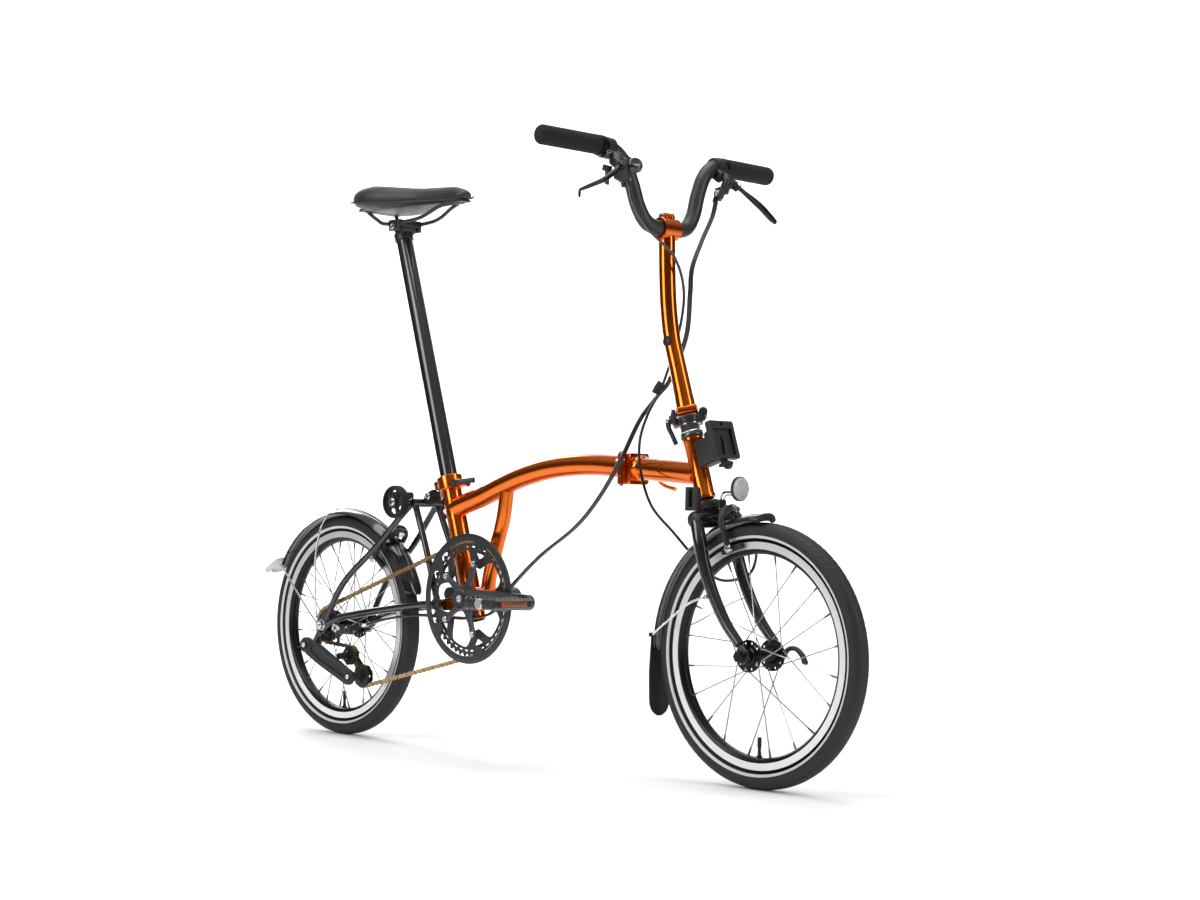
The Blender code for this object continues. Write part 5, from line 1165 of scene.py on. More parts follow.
# ---- cables -----------------------------------------------------------------------------------
CABLE_R = 2.5
SPAN = 10
FRONT_CABLE = [(847, -110, 974), (858, -106, 920), (850, -60, 884), (858, -10, 845), (855, 17, 790),
               (838, 23, 720),
               (815, 17, 650), (808, 8, 622), (805, -12, 590), (808, -33, 547), (816, -39, 498),
               (833, -30, 440),
               (852, 4, 396), (872, 32, 358), (915, 45, 322), (965, 58, 330), (990, 50, 362), (988, 42, 396)]
REAR_CABLE = [(842, 108, 974), (836, 104, 930), (850, 62, 880), (862, 26, 830), (860, 24, 786),
              (845, 32, 718),
              (813, 28, 648), (798, 14, 620), (790, -18, 580), (770, -43, 511), (722, -44, 450),
              (668, -44, 402),
              (581, -41, 352), (504, -33, 300), (448, -26, 252), (396, -29, 238), (330, -31, 236),
              (262, -32, 237),
              (196, -33, 231), (140, -36, 221), (104, -50, 209)]
REAR_TWIN_SHIFT = Vector((1.2, 4.0, 1.1)) * MM


def cable_piece(name, points, start, end, stands_for, body=None, blend=None, bore=CABLE_R):
    """A stretch of cable between two places along its route, counted in route points."""
    first, last = round(start * SPAN), round(end * SPAN)
    lumps = [pipe(line[first:last + 1], bore, 14) for line in points]
    made = piece(name, lumps, CABLE, body, [stands_for])
    if blend:
        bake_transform(made)
    return made


front_line = [route(FRONT_CABLE, SPAN)]
cable_piece("front_cable_upper", front_line, 0, 7, "front_brake_cable",
            blend=("stem", "fork", at(855, 0, 840), at(855, 0, 660)))
cable_piece("front_cable_headset", front_line, 7, 9.6, "front_brake_cable",
            blend=("fork", "front_frame", at(808, 0, 616), at(808, 0, 552)))
cable_piece("front_cable_crown", front_line, 9.6, 14, "front_brake_cable",
            blend=("front_frame", "fork", at(819, -36, 488), at(905, 42, 330)))
cable_piece("front_cable_caliper", front_line, 14, 17, "front_brake_cable", body="fork")
rear_line = route(REAR_CABLE, SPAN)
rear_pair = [rear_line, [p + REAR_TWIN_SHIFT for p in rear_line]]
cable_piece("rear_cables_upper", rear_pair, 0, 7, "rear_cables",
            blend=("stem", "fork", at(855, 0, 840), at(855, 0, 660)))
cable_piece("rear_cables_headset", rear_pair, 7, 8.5, "rear_cables",
            blend=("fork", "front_frame", at(795, 0, 616), at(795, 0, 566)))
cable_piece("rear_cables_hinge", rear_pair, 8.5, 11, "rear_cables",
            blend=("front_frame", "main_frame", at(776, 0, 500), at(716, 0, 500)))
cable_piece("rear_cables_under_tube", rear_pair, 11, 15, "rear_cables", body="main_frame")
cable_piece("rear_cables_pivot", rear_pair, 15, 18, "rear_cables",
            blend=("main_frame", "rear_frame", at(356, 0, 258), at(246, 0, 258)))
cable_piece("rear_cables_chainstay", rear_pair, 18, 20, "rear_cables", body="rear_frame")


def ferrule(points, index, radius=3.6, length=9.0):
    middle = points[index]
    step = 1 if index + 1 < len(points) else -1
    line = (points[index + step] - middle).normalized() * (length / 2 * MM)
    return rod(middle - line, middle + line, radius, 18)


piece("cable_ferrules_stem", [ferrule(front_line[0], 2), ferrule(rear_pair[0], 2), ferrule(rear_pair[1], 2)],
      SILVER,
      "stem")
piece("cable_ferrules_fork", [ferrule(front_line[0], 168)], SILVER, "fork")
piece("cable_ferrules_rear", [ferrule(rear_pair[0], 197), ferrule(rear_pair[1], 197)], SILVER, "rear_frame")
tie = at(805.5, 11.0, 634)
piece("cable_tie_sleeve", [pipe([at(811, 14, 643), tie, at(803, 8, 625)], 8.0, 24, flat=0.72)], RUBBER,
      "fork")
piece("cable_guides", [
    block(at(396, -26, 243), (9, 12, 8), bevel=1.6), block(at(448, -23, 257), (9, 12, 8), bevel=1.6),
], PLASTIC, "main_frame")


# ---- chain and drive --------------------------------------------------------------------------
CHAIN_PITCH = 12.7
CIRCLES = [(BRACKET[0], BRACKET[1], CHAINRING_R, 1), (REAR_AXLE[0], REAR_AXLE[1], SPROCKET_R, 1),
           (UPPER_IDLER[0], UPPER_IDLER[1], UPPER_PITCH, -1),
           (LOWER_IDLER[0], LOWER_IDLER[1], LOWER_PITCH, 1)]


def belt(circles):
    """The chain's line as (x, z) points close together, and the stretch that each one lies on."""
    legs = []
    for i, (x1, z1, r1, k1) in enumerate(circles):
        x2, z2, r2, k2 = circles[(i + 1) % len(circles)]
        gap = Vector((x2 - x1, z2 - z1))
        offset = k2 * r2 - k1 * r1
        run = math.sqrt(gap.length_squared - offset ** 2)
        heading = math.atan2(gap.y, gap.x) - math.atan2(offset, run)
        normal = Vector((-math.sin(heading), math.cos(heading)))
        legs.append((Vector((x1, z1)) - k1 * r1 * normal, Vector((x2, z2)) - k2 * r2 * normal))
    points, stretches = [], []
    for i, (x, z, radius, k) in enumerate(circles):
        arrive, leave = legs[i - 1][1] - Vector((x, z)), legs[i][0] - Vector((x, z))
        start = math.atan2(arrive.y, arrive.x)
        sweep = (math.atan2(leave.y, leave.x) - start) * k % (2 * math.pi)
        for step in range(60):
            angle = start + k * sweep * step / 60
            points.append(Vector((x + radius * math.cos(angle), z + radius * math.sin(angle))))
            stretches.append(2 * i)
        for step in range(60):
            points.append(legs[i][0].lerp(legs[i][1], step / 60))
            stretches.append(2 * i + 1)
    return points, stretches


def link_plate(y, heading, middle, half, thick, waist):
    outline = []
    for end in (1, -1):
        for i in range(9):
            a = math.radians(-80 + 20 * i) + (0 if end > 0 else math.pi)
            outline.append((end * CHAIN_PITCH / 2 + half * math.cos(a), half * math.sin(a)))
        outline.append((0.0, end * waist))
    c, s = math.cos(heading), math.sin(heading)
    verts = []
    for offset in (thick / 2, -thick / 2):
        for u, v in outline:
            verts.append(at(middle.x + u * c - v * s, y + offset, middle.y + u * s + v * c))
    count = len(outline)
    faces = [tuple(range(count)), tuple(range(count, 2 * count))[::-1]]
    faces += [(i, i + count, (i + 1) % count + count, (i + 1) % count) for i in range(count)]
    return verts, faces


belt_line, belt_stretch = belt(CIRCLES)
lengths = [0.0]
for i in range(len(belt_line)):
    lengths.append(lengths[-1] + (belt_line[(i + 1) % len(belt_line)] - belt_line[i]).length)
LINKS = 2 * round(lengths[-1] / CHAIN_PITCH / 2)


def on_belt(distance):
    distance %= lengths[-1]
    i = int(np.searchsorted(lengths, distance, side="right")) - 1
    i = min(i, len(belt_line) - 1)
    share = (distance - lengths[i]) / (lengths[i + 1] - lengths[i])
    return belt_line[i].lerp(belt_line[(i + 1) % len(belt_line)], share), belt_stretch[i]


STRETCH_GROUPS = {0: "ring", 1: "upper", 2: "upper", 3: "idler", 4: "idler", 5: "idler", 6: "idler",
                  7: "lower"}
LOWER_HALF_X = 250.0
chain_lumps = {"ring": [], "upper": [], "idler": [], "lower_rear": [], "lower_front": []}
for i in range(LINKS):
    here, _ = on_belt(lengths[-1] * i / LINKS)
    after, _ = on_belt(lengths[-1] * (i + 1) / LINKS)
    middle, stretch = on_belt(lengths[-1] * (i + 0.5) / LINKS)
    chord = (here + after) / 2
    group = STRETCH_GROUPS[stretch]
    if group == "lower":
        group = "lower_rear" if chord.x < LOWER_HALF_X else "lower_front"
    heading = math.atan2(after.y - here.y, after.x - here.x)
    gap_y = 3.0 if i % 2 else 1.9
    for side in (-1, 1):
        chain_lumps[group].append(link_plate(CHAIN_Y + side * gap_y, heading, chord, 3.9, 0.9, 2.7))
    chain_lumps[group].append(across(here.x, here.y, CHAIN_Y - 3.5, CHAIN_Y + 3.5, 1.8, 10))
CHAIN_BLENDS = {
    "upper": ("main_frame", "rear_frame", at(340, 0, 350), at(120, 0, 290)),
    "idler": ("rear_frame", "tensioner", at(14, 0, 176), at(54, 0, 152)),
    "lower_rear": ("tensioner", "rear_frame", at(128, 0, 105), at(240, 0, 130)),
    "lower_front": ("rear_frame", "main_frame", at(262, 0, 134), at(372, 0, 165)),
}
for group, lumps in chain_lumps.items():
    made = piece("chain_" + group, lumps, BRONZE, None if group in CHAIN_BLENDS else "main_frame", ["chain"])
    if group in CHAIN_BLENDS:
        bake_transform(made)


def toothed(x, z, teeth, root, tip, start=0.0):
    outline = []
    for i in range(teeth * 6):
        phase = (i % 6) / 6
        r = {0: root, 1: root, 2: (root + tip) / 2, 3: tip, 4: tip, 5: (root + tip) / 2}[i % 6]
        a = start + 2 * math.pi * (i // 6 + phase) / teeth
        outline.append((x + r * math.cos(a), z + r * math.sin(a)))
    return outline


def lobed(x, z, rim, lobe, count=5, width=0.13, fade=0.16, start=0.0, reverse=True):
    """A round opening with lugs that reach in to the lobe radius."""
    outline = []
    for i in range(count * 40):
        a = 2 * math.pi * i / (count * 40)
        near = (a + math.pi / count) % (2 * math.pi / count) - math.pi / count
        blend = max(0.0, 1.0 - max(0.0, abs(near) - width) / fade)
        blend = blend * blend * (3 - 2 * blend)
        r = rim + (lobe - rim) * blend
        outline.append((x + r * math.cos(a + start), z + r * math.sin(a + start)))
    return outline[::-1] if reverse else outline


BX, BZ = BRACKET
ARMS = 5
ARM_ANGLES = [2 * math.pi * i / ARMS for i in range(ARMS)]
BOLT_CIRCLE_R = 65.0


def around(angle, radius, sideways=0.0):
    """A place near the bottom bracket as (x, z): out along an arm's angle, then square to it."""
    return (BX + radius * math.cos(angle) - sideways * math.sin(angle),
            BZ + radius * math.sin(angle) + sideways * math.cos(angle))


ring_cuts = [lobed(BX, BZ, 86.0, 57.5, width=0.10, fade=0.34, start=0.0)]
for arm in ARM_ANGLES:
    ring_cuts.append(rounded([around(arm, *p)
                              for p in ((74, -1.5), (82.5, -11), (84.0, 0), (82.5, 11), (74, 1.5))],
                             2.6)[::-1])
SLOTS = 40
for i in range(SLOTS):
    angle = 2 * math.pi * (i + 0.5) / SLOTS
    ring_cuts.append(rounded([around(angle, *p)
                              for p in ((90.4, -4.4), (90.4, 4.4), (93.0, 4.4), (93.0, -4.4))],
                             1.2)[::-1])
piece("chainring_plate", [side_slab(toothed(BX, BZ, 50, 97.0, 102.4), -42.2, -39.8, ring_cuts, 0.4)],
      RING_BLACK,
      "cranks", ["chainring"])
piece("chain_guard_ring", [
    side_slab(circle(BX, BZ, 114.6, 160), -47.3, -45.0,
              [lobed(BX, BZ, 101.6, 84, width=0.05, fade=0.12, start=0.0)],
              0.6),
    lathe([(106.5, -1.2), (112.6, -1.6), (114.4, -0.6), (114.7, 1.1), (113.6, 1.9), (106.5, 1.2)],
          at(BX, -46.1, BZ), Y_AXIS, 160),
], RING_BLACK, "cranks", ["chain_guard"])
spider = [side_slab(lobed(BX, BZ, 24.0, 33.0, width=0.12, fade=0.42, start=0.0, reverse=False), -53.6, -47.7,
                    [circle(BX, BZ, 10.0, 32)[::-1]], 1.6)]
for arm in ARM_ANGLES:
    outline = [around(arm, *p)
               for p in ((16, -8.5), (40, -5.6), (57, -5.2), (61, -7.4), (66, -8.0), (71.5, -5.4),
                                         (73, 0), (71.5, 5.4), (66, 8.0), (61, 7.4), (57, 5.2), (40, 5.6),
                                         (16, 8.5))]
    spider.append(side_slab(rounded(outline, 3.0), -53.8, -47.6, (), 1.8))
right_arm = []
for i in range(25):
    a = math.radians(96 + 168 * i / 24)
    right_arm.append((BX + 19.5 * math.cos(a), BZ + 19.5 * math.sin(a)))
for i in range(25):
    a = math.radians(-84 + 168 * i / 24)
    right_arm.append((BX + CRANK_LENGTH + 13.5 * math.cos(a), BZ + 13.5 * math.sin(a)))
groove = rounded([(BX + 30, BZ + 6.0), (BX + 30, BZ - 6.0), (BX + 146, BZ - 4.0), (BX + 146, BZ + 4.0)], 3.8)
piece("right_crank_forging", [
    *spider,
    side_slab(right_arm, -66.4, -59.6, [groove], 2.2),
    side_slab(right_arm, -61.6, -54.6, (), 1.8),
    lathe([(8.6, -66), (16.6, -67.6), (18.0, -66), (19.6, -54), (24.0, -50), (24.0, -47.8), (18.0, -46),
           (18.0, -39.4),
           (8.6, -39.4)], at(BX, 0, BZ), Y_AXIS, 56),
], CRANK_GREY, "cranks", ["right_crank"])
left_arm = [(2 * BX - x, z) for x, z in right_arm]
left_groove = [(2 * BX - x, z) for x, z in groove]
piece("left_crank_forging", [
    side_slab(left_arm[::-1], 59.6, 66.4, [left_groove], 2.2),
    side_slab(left_arm[::-1], 54.6, 61.6, (), 1.8),
    lathe([(8.6, 66), (16.6, 67.6), (18.0, 66), (19.0, 54), (17.0, 46), (16.0, 39.4), (8.6, 39.4)],
          at(BX, 0, BZ), Y_AXIS,
          56),
], CRANK_GREY, "cranks", ["left_crank"])
piece("crank_bolts", [
    bolt(at(BX, -68.4, BZ), -Y_AXIS, 7.0, 4.0, 0.5), bolt(at(BX, 68.4, BZ), Y_AXIS, 7.0, 4.0, 0.5),
    across(BX, BZ, -65.6, 65.6, 8.4),
    *[bolt(at(around(arm, BOLT_CIRCLE_R)[0], -55.4, around(arm, BOLT_CIRCLE_R)[1]), -Y_AXIS, 5.4, 3.0)
      for arm in ARM_ANGLES],
    *[across(*around(arm, BOLT_CIRCLE_R), -54, -38.6, 4.4, 20) for arm in ARM_ANGLES],
], SILVER, "cranks", ["crank_spindle"])
piece("guard_screws",
      [bolt(at(around(arm, 92)[0], -48.2, around(arm, 92)[1]), -Y_AXIS, 2.6, 2.0) for arm in ARM_ANGLES],
      DARK_STEEL, "cranks")
piece("crank_bolt_rings", [
    lathe([(7.2, -0.8), (13.8, -0.8), (14.4, 0), (13.8, 0.8), (7.2, 0.8)], at(BX, side * 68.0, BZ), Y_AXIS,
          40)
    for side in (-1, 1)
], PLASTIC, "cranks")

# sprockets, chain pusher, tensioner and idlers
sprocket_cuts = [circle(0, 208, 12.2, 32)[::-1]]
for i in range(6):
    a = math.radians(60 * i + 30)
    sprocket_cuts.append(circle(20 * math.cos(a), 208 + 20 * math.sin(a), 3.4, 16)[::-1])
REAR_TEETH = 16
piece("rear_sprocket_plates", [
    side_slab(toothed(0, 208, REAR_TEETH, 29.6, 34.0), -42.0, -40.0, sprocket_cuts, 0.4),
    side_slab(toothed(0, 208, 13, 23.4, 27.4), -36.6, -34.6, [circle(0, 208, 12.2, 32)[::-1]], 0.4),
    lathe([(12.2, -44.0), (15.4, -44.0), (16.0, -43.0), (16.0, -33.0), (12.2, -33.0)], at(0, 0, 208), Y_AXIS,
          40),
], DARK_STEEL, "sprockets", ["rear_sprockets"])
piece("chain_pusher_body", [
    block(at(72, -60, 203), (46, 8, 17), bevel=2.6),
    block(at(86, -61.5, 203), (15, 7, 12), bevel=2.2),
    pipe(route([(58, -60, 200), (50, -58, 190), (42, -50, 180), (36, -49, 174)], 8), [3.6, 3.0, 3.0, 3.4],
         20),
], PLASTIC, "chain_pusher", ["chain_pusher"])
piece("chain_pusher_spring", [
    side_slab(rounded([(54, 196), (62, 210), (46, 214), (40, 202)], 3.0), -66.4, -64.6,
              [circle(51, 205.5, 3.2, 16)[::-1]]),
    bolt(at(82, -65.0, 206), -Y_AXIS, 3.6, 2.4), bolt(at(60, -65.4, 204), -Y_AXIS, 3.2, 2.2),
], SILVER, "chain_pusher")
ARM_OUTLINE = [(-36, 177), (-31, 184), (-20, 185), (22, 171), (104, 133), (117, 128), (122, 116), (114, 104),
               (102, 102), (18, 134), (-24, 153), (-34, 161)]
recess = [(-6, 172.5), (20, 161), (96, 129.5), (98, 116), (22, 144), (-8, 159)]
piece("tensioner_arm_plate", [
    side_slab(rounded(ARM_OUTLINE, 7.0), -77.6, -70.4, [rounded(recess, 6.0)[::-1]], 1.6),
    side_slab(rounded(ARM_OUTLINE, 7.0), -75.2, -70.6, (), 1.2),
    across(TENSIONER[0], TENSIONER[1], -79.4, -70.6, 14.2, 40),
    across(LOWER_IDLER[0], LOWER_IDLER[1], -78.6, -70.6, 11.4, 36),
    across(UPPER_IDLER[0], UPPER_IDLER[1], -71, -33, 4.0),
    across(LOWER_IDLER[0], LOWER_IDLER[1], -74, -33, 4.0),
    side_slab(rounded([(64, 162), (78, 158), (116, 122), (112, 112), (102, 112), (64, 148)], 5.0), -34.6,
              -33.0),
    across(LOWER_IDLER[0], LOWER_IDLER[1], -71, -48.4, 8.4),
    across(UPPER_IDLER[0], UPPER_IDLER[1], -71, -48.4, 6.4),
], CASTING, "tensioner", ["tensioner_arm"])
piece("tensioner_bolts", [
    bolt(at(TENSIONER[0], -82.0, TENSIONER[1]), -Y_AXIS, 5.4, 4.0),
    bolt(at(LOWER_IDLER[0], -80.2, LOWER_IDLER[1]), -Y_AXIS, 4.8, 3.4),
], SILVER, "tensioner")
piece("tensioner_caps", [
    lathe([(5.2, -2.4), (8.0, -2.4), (8.8, -1), (8.8, 2.4), (5.2, 2.4)],
          at(TENSIONER[0], -79.6, TENSIONER[1]), Y_AXIS, 40),
    lathe([(4.6, -1.6), (7.2, -1.6), (8.0, -0.6), (8.0, 2.0), (4.6, 2.0)],
          at(LOWER_IDLER[0], -78.6, LOWER_IDLER[1]), Y_AXIS, 40),
], RUBBER, "tensioner")


def make_idler(name, centre, pitch, teeth):
    x, z = centre
    cuts = [circle(x, z, 4.7, 20)[::-1]]
    for i in range(5):
        a = math.radians(72 * i)
        cuts.append(circle(x + (pitch * 0.60) * math.cos(a), z + (pitch * 0.60) * math.sin(a), 2.5, 14)[::-1])
    lumps = [side_slab(toothed(x, z, teeth, pitch - 3.6, pitch - 0.6), -42.2, -39.8, cuts, 0.4),
             side_slab(toothed(x, z, teeth, pitch + 1.2, pitch + 2.6), -47.2, -45.0, cuts, 0.5),
             side_slab(toothed(x, z, teeth, pitch + 1.2, pitch + 2.6), -37.0, -34.8, cuts, 0.5),
             lathe([(4.7, -6.4), (8.4, -6.4), (8.8, -5.6), (8.8, 5.6), (8.4, 6.4), (4.7, 6.4)], at(x, -41, z),
                   Y_AXIS, 32)]
    piece(name + "_wheel", lumps, PLASTIC, name, [name])


make_idler("lower_idler", LOWER_IDLER, LOWER_PITCH, 9)
make_idler("upper_idler", UPPER_IDLER, UPPER_PITCH, 8)


# ---- pedals -----------------------------------------------------------------------------------
def make_pedal(name, x, side, y_from, y_to, pedal_body):
    """A pedal body with two windows, serrated steel edges and amber reflectors."""
    z = BRACKET[1]
    low, high = sorted((side * y_from, side * y_to))
    middle = (low + high) / 2
    length = high - low
    outline = rounded([(x - 37, low + 1), (x + 37, low + 1), (x + 37, high - 1), (x - 37, high - 1)], 8.0)
    cuts = []
    for shift in (-1, 1):
        cuts.append(rounded([(x + shift * 10, low + 12), (x + shift * 30, low + 12),
                             (x + shift * 30, high - 12),
                             (x + shift * 10, high - 12)][::-shift], 5.0))
    cuts = [cut[::-1] for cut in cuts]
    flat = Matrix.Translation(at(0, 0, z))
    frame_slab = slab([(px - MIDDLE_X, py) for px, py in outline], 15.0,
                      flat @ Matrix.Translation(Vector((MIDDLE_X * MM, 0, 0))),
                      [[(px - MIDDLE_X, py) for px, py in cut] for cut in cuts], 1.6)
    lumps = [frame_slab, across(x, z, low + 4, high - 4, 10.2, 32),
             *[block(at(x + shift * 20, middle, z), (20, 5, 8), bevel=1.4) for shift in (-1, 1)]]
    piece(name + "_body", lumps, PLASTIC, pedal_body, [name])
    plates = []
    for shift in (-1, 1):
        for face in (-1, 1):
            teeth = [(low + 4, z + face * 5.0)]
            count = 16
            for i in range(count + 1):
                u = low + 4 + (length - 8) * i / count
                teeth.append((u, z + face * (10.8 if i % 2 else 8.2)))
            teeth.append((high - 4, z + face * 5.0))
            place = Matrix.Translation(at(x + shift * 37.6, 0, 0)) @ FACING_FORWARD
            plates.append(slab(teeth if face > 0 else teeth[::-1], 1.3, place, (), 0.3))
    piece(name + "_teeth_plates", plates, STEEL, pedal_body)
    lens = []
    for shift in (-1, 1):
        lens.append(block(at(x + shift * 37.4, middle, z), (3.4, length - 34, 9.6), bevel=1.0))
        lens += [block(at(x + shift * 39.2, middle + u, z), (1.0, 1.5, 8.4), bevel=0.4)
                 for u in np.arange(-(length - 44) / 2, (length - 44) / 2 + 1, 4.6)]
    piece(name + "_reflectors", lens, AMBER, pedal_body)


make_pedal("right_pedal", BX + CRANK_LENGTH, -1, 80, 172, "right_pedal")
make_pedal("left_pedal", BX - CRANK_LENGTH, 1, 92, 172, "left_pedal")
piece("right_pedal_axle", [
    across(BX + CRANK_LENGTH, BZ, -82, -57, 5.0), nut(at(BX + CRANK_LENGTH, -71, BZ), Y_AXIS, 8.4, 6.0),
    lathe([(0.1, -173.6), (8.2, -173.6), (9.4, -172.4), (9.4, -168), (0.1, -168)],
          at(BX + CRANK_LENGTH, 0, BZ), Y_AXIS, 36, False),
], SILVER, "right_pedal")
PX = BX - CRANK_LENGTH
piece("left_pedal_fold_block", [
    across(PX, BZ, 57, 80, 5.0), block(at(PX, 77.5, BZ), (26, 17, 20), bevel=2.4),
    rod(at(PX - 6, 87, 259), at(PX + 6, 87, 259), 4.4, 28), block(at(PX, 80, 263), (12, 8, 16), bevel=1.4),
], SILVER, "left_pedal_hinge", ["left_pedal_hinge"])
piece("left_pedal_knuckles", [
    rod(at(PX - 15, 87, 259), at(PX - 6.5, 87, 259), 3.8, 24),
    rod(at(PX + 6.5, 87, 259), at(PX + 15, 87, 259), 3.8, 24),
    rod(at(PX - 16, 87, 259), at(PX + 16, 87, 259), 2.0, 16),
    block(at(PX - 11, 91, 261), (8, 8, 6), bevel=1.2), block(at(PX + 11, 91, 261), (8, 8, 6), bevel=1.2),
], CASTING, "left_pedal")


# ---- seat -------------------------------------------------------------------------------------
post_length = (on_seat(944) - on_seat(395)).length / MM
post_profile = [(0.1, 0.0), (14.9, 0.0), (15.9, 1.0), (15.9, post_length - 3), (14.4, post_length),
                (0.1, post_length)]
piece("seat_post_tube", [lathe(post_profile, on_seat(395), SEAT_UP, 56, False)], ENAMEL, "seat",
      ["seat_post"])
piece("saddle_clamp_head", [
    across(156, 955, -16.6, 16.6, 14.6, 44),
    block(at(156, 0, 961), (33, 57, 13), bevel=3.4),
    block(at(156, -24, 955), (30, 9, 17), bevel=3.0), block(at(156, 24, 955), (30, 9, 17), bevel=3.0),
    lathe([(15.4, -9), (17.6, -8), (17.6, 6), (15.4, 8)], on_seat(938), SEAT_UP, 40),
], CASTING, "seat")
piece("saddle_clamp_bolts", [
    across(156, 955, -31.5, 31.5, 4.0), bolt(at(156, -33.0, 955), -Y_AXIS, 6.4, 4.0),
    nut(at(156, 31.8, 955), Y_AXIS, 6.8, 4.6),
], SILVER, "seat")
RAIL = [(88, 986, 34), (104, 972, 26), (126, 962, 22), (190, 962, 22), (230, 967, 20), (270, 982, 15),
        (296, 987, 8)]
rail_points = [at(x, y, z) for x, z, y in RAIL] + [at(x, -y, z) for x, z, y in reversed(RAIL)]
piece("saddle_rail_wire", [pipe(smooth(rail_points, 10), 3.5, 24)], BAR_PAINT, "seat", ["saddle_rails"])
SADDLE_STATIONS = [(60, 44, 1001, 1021), (74, 66, 990, 1028), (96, 74, 985.5, 1031.5), (120, 75, 984.5, 1031),
                   (146, 69, 984.5, 1028), (170, 58, 986, 1025), (196, 44, 988.5, 1022),
                   (220, 33, 989.5, 1020),
                   (250, 26, 989, 1018.5), (280, 21.5, 987.5, 1017), (306, 20, 987, 1015),
                   (326, 17.5, 989, 1012),
                   (337, 12, 994, 1007)]


def saddle_cage(shrink=0.0):
    """Rings of twelve points from tail to nose: a crowned top, rolled sides and a shallow hollow below."""
    xs = [s[0] for s in SADDLE_STATIONS]
    rows = []
    for x in np.linspace(xs[0], xs[-1], 34):
        half, low, high = (float(np.interp(x, xs, [s[k] for s in SADDLE_STATIONS])) for k in (1, 2, 3))
        half -= shrink
        high -= shrink
        side_z = low + (high - low) * 0.42
        groove = 1.6 * math.exp(-((x - 180) / 70.0) ** 2)
        rows.append([(x, -half, side_z), (x, -half * 0.93, high - 6.2), (x, -half * 0.70, high - 1.6),
                     (x, -half * 0.36, high), (x, 0, high - groove), (x, half * 0.36, high),
                     (x, half * 0.70, high - 1.6),
                     (x, half * 0.93, high - 6.2), (x, half, side_z), (x, half * 0.90, low + 1),
                     (x, 0, low + 4),
                     (x, -half * 0.90, low + 1)])
    verts = [at(*p) for row in rows for p in row]
    faces = grid_faces(len(rows), 12, False, True)
    faces += [tuple(range(12))[::-1], tuple(range(len(verts) - 12, len(verts)))]
    return verts, faces


def finished(thing):
    """Applies a piece's modifiers to its mesh."""
    graph = bpy.context.evaluated_depsgraph_get()
    bpy.context.view_layer.update()
    mesh = bpy.data.meshes.new_from_object(thing.evaluated_get(graph))
    thing.modifiers.clear()
    thing.data = mesh
    return thing


SADDLE_CAP = 3.0
saddle = piece("saddle_padding", [saddle_cage(1.2)], COVER, "seat", ["saddle"], sharp=180.0)
soft = saddle.modifiers.new("soft", "SUBSURF")
soft.levels = 2
soft.render_levels = 2
finished(saddle)


def puff(thing, cap, frames=20):
    """Lets cloth pressure round the padding, with no point moving further than the cap."""
    scene = bpy.context.scene
    remesh = thing.modifiers.new("remesh", "REMESH")
    remesh.mode = "VOXEL"
    remesh.voxel_size = 0.004
    finished(thing)
    before = np.empty(len(thing.data.vertices) * 3)
    thing.data.vertices.foreach_get("co", before)
    cloth = thing.modifiers.new("cloth", "CLOTH")
    cloth.settings.quality = 5
    cloth.settings.use_pressure = True
    cloth.settings.uniform_pressure_force = 4.0
    cloth.settings.effector_weights.gravity = 0.0
    cloth.point_cache.frame_start = 1
    cloth.point_cache.frame_end = frames
    for number in range(1, frames + 1):
        scene.frame_set(number)
    finished(thing)
    scene.frame_set(1)
    after = np.empty(len(thing.data.vertices) * 3)
    thing.data.vertices.foreach_get("co", after)
    move = (after - before).reshape(-1, 3)
    size = np.linalg.norm(move, axis=1, keepdims=True)
    limit = cap * MM
    move *= np.minimum(1.0, limit / np.maximum(size, 1e-9))
    thing.data.vertices.foreach_set("co", (before.reshape(-1, 3) + move).ravel())
    polish = thing.modifiers.new("polish", "SUBSURF")
    polish.levels = 1
    polish.render_levels = 1
    finished(thing)
    thing.data.shade_smooth()


puff(saddle, SADDLE_CAP)
saddle.data.shade_smooth()
seam_left, seam_right = [], []
seam_xs = [s[0] for s in SADDLE_STATIONS]
for x in np.linspace(68, 334, 60):
    half, low, high = (float(np.interp(x, seam_xs, [s[k] for s in SADDLE_STATIONS])) for k in (1, 2, 3))
    seam_left.append(at(x, half * 0.975, low + (high - low) * 0.30))
    seam_right.append(at(x, -half * 0.975, low + (high - low) * 0.30))
piece("saddle_edge_piping", [pipe(seam_left, 1.5, 12), pipe(seam_right, 1.5, 12)], RUBBER, "seat")
base_outline = []
for x in np.linspace(70, 328, 40):
    half = float(np.interp(x, seam_xs, [s[1] for s in SADDLE_STATIONS]))
    base_outline.append((x - MIDDLE_X, half * 0.70))
base_loop = base_outline + [(x, -y) for x, y in reversed(base_outline)]
piece("saddle_base_shell", [
    slab(base_loop[::-1], 4.0, Matrix.Translation(Vector((0, 0, 0.9895))), (), 1.0),
    block(at(96, 0, 988), (26, 78, 6), bevel=2.4), block(at(300, 0, 989), (24, 24, 6), bevel=2.0),
], PLASTIC, "seat")


# ---- floor, light and camera ------------------------------------------------------------------
def staged(name, verts, faces):
    """A part of the studio, laid out along the line that the camera looks along."""
    mesh = bpy.data.meshes.new(name)
    mesh.from_pydata(verts, [], faces)
    mesh.shade_smooth()
    mesh.materials.append(FLOOR)
    thing = bpy.data.objects.new(name, mesh)
    thing.rotation_euler = (0.0, 0.0, math.radians(VIEW_YAW))
    bpy.context.scene.collection.objects.link(thing)


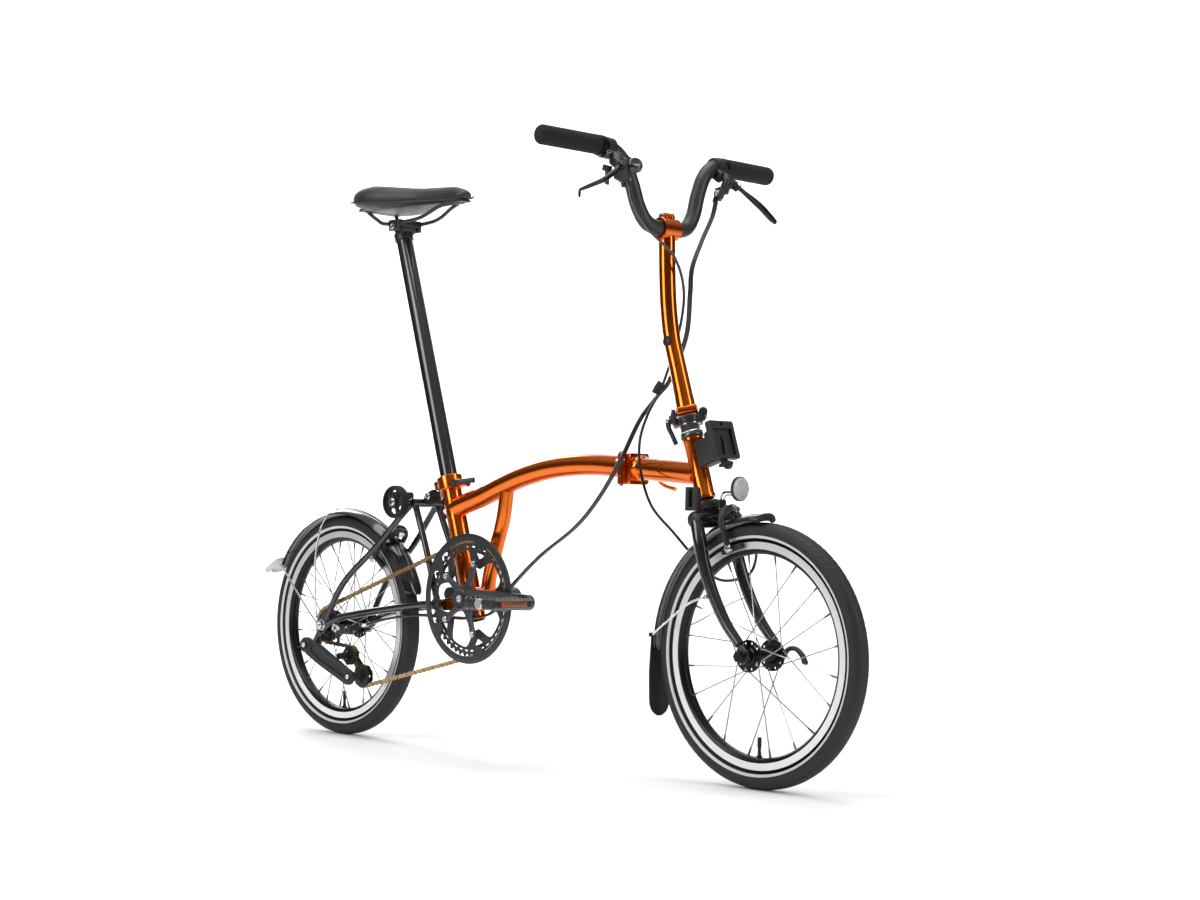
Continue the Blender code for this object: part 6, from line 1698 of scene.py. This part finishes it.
VIEW_YAW = 135.262
FLOOR_REACH = 16.0
WALL_START = 5.6
WALL_BEND = 2.0
WALL_HALF_WIDTH = 4.6
staged("studio_floor", [(-FLOOR_REACH, -FLOOR_REACH, 0.0), (WALL_START, -FLOOR_REACH, 0.0),
                        (WALL_START, FLOOR_REACH, 0.0), (-FLOOR_REACH, FLOOR_REACH, 0.0)], [(0, 1, 2, 3)])
sweep = [(WALL_START + WALL_BEND * math.sin(a), WALL_BEND - WALL_BEND * math.cos(a))
         for a in np.linspace(0.0, math.pi / 2, 16)] + [(WALL_START + WALL_BEND, 6.0)]
sweep_verts = [(u, v, w) for v in (-WALL_HALF_WIDTH, WALL_HALF_WIDTH) for u, w in sweep]
staged("studio_sweep", sweep_verts, grid_faces(2, len(sweep), False, False))
bpy.context.scene.view_settings.view_transform = "Standard"


def area_light(name, place, aim, size, power, tall=None):
    data = bpy.data.lights.new(name, "AREA")
    data.shape = "RECTANGLE"
    data.size = size
    data.size_y = tall or size
    data.energy = power
    lamp = bpy.data.objects.new(name, data)
    lamp.location = place
    lamp.rotation_euler = (Vector(aim) - Vector(place)).to_track_quat("-Z", "Y").to_euler()
    bpy.context.scene.collection.objects.link(lamp)
    return lamp


area_light("key", (-0.4, -2.9, 2.2), (0.1, 0.0, 0.5), 1.5, 62.0, 2.6)
area_light("side", (3.1, 0.9, 1.5), (0.2, 0.0, 0.5), 0.7, 34.0, 2.6)
area_light("rim", (-2.8, 0.9, 1.7), (0.0, 0.0, 0.5), 0.6, 28.0, 2.4)
area_light("top", (0.0, 0.0, 3.6), (0.0, 0.0, 0.0), 2.6, 66.0)
area_light("backdrop_wash", (-3.0, 3.0, 4.4), (-5.0, 5.0, 0.9), 5.0, 330.0, 1.6)

world = bpy.data.worlds.new("studio")
world.use_nodes = True
tree = world.node_tree
sky = tree.nodes["Background"]
gradient = add_node(tree, "ShaderNodeTexGradient")
place = add_node(tree, "ShaderNodeTexCoord")
turn = add_node(tree, "ShaderNodeMapping")
turn.inputs["Rotation"].default_value = (0.0, math.radians(90), 0.0)
turn.inputs["Location"].default_value = (0.5, 0.0, 0.0)
turn.inputs["Scale"].default_value = (0.5, 0.5, 0.5)
ramp = add_node(tree, "ShaderNodeValToRGB")
ramp.color_ramp.elements[0].position = 0.0
ramp.color_ramp.elements[0].color = (0.50, 0.50, 0.50, 1.0)
ramp.color_ramp.elements[1].position = 1.0
ramp.color_ramp.elements[1].color = (1.0, 1.0, 1.0, 1.0)
for position, level in ((0.47, 0.30), (0.51, 0.02), (0.66, 0.03), (0.80, 0.55)):
    stop = ramp.color_ramp.elements.new(position)
    stop.color = (level, level, level, 1.0)
tree.links.new(place.outputs["Generated"], turn.inputs["Vector"])
tree.links.new(turn.outputs["Vector"], gradient.inputs["Vector"])
tree.links.new(gradient.outputs["Fac"], ramp.inputs["Fac"])
seen = add_node(tree, "ShaderNodeMix", data_type="RGBA")
rays = add_node(tree, "ShaderNodeLightPath")
seen.inputs[7].default_value = (0.56, 0.56, 0.56, 1.0)
tree.links.new(rays.outputs["Is Camera Ray"], seen.inputs[0])
tree.links.new(ramp.outputs["Color"], seen.inputs[6])
tree.links.new(seen.outputs[2], sky.inputs["Color"])
sky.inputs["Strength"].default_value = 0.5
bpy.context.scene.world = world

yaw, pitch, roll = math.radians(135.262), math.radians(1.760), math.radians(0.840)
ahead = Vector((math.cos(pitch) * math.cos(yaw), math.cos(pitch) * math.sin(yaw), math.sin(pitch)))
right = ahead.cross(Z_AXIS).normalized()
above = right.cross(ahead)
camera_x = right * math.cos(roll) + above * math.sin(roll)
camera_y = above * math.cos(roll) - right * math.sin(roll)
camera_data = bpy.data.cameras.new("camera")
camera_data.lens = 63.55
camera_data.sensor_width = 36.0
camera_data.clip_end = 50.0
camera = bpy.data.objects.new("camera", camera_data)
camera.matrix_world = Matrix.Translation((2.7147, -2.5132, 0.4234)) @ turned(camera_x, camera_y, -ahead)
bpy.context.scene.collection.objects.link(camera)
bpy.context.scene.camera = camera
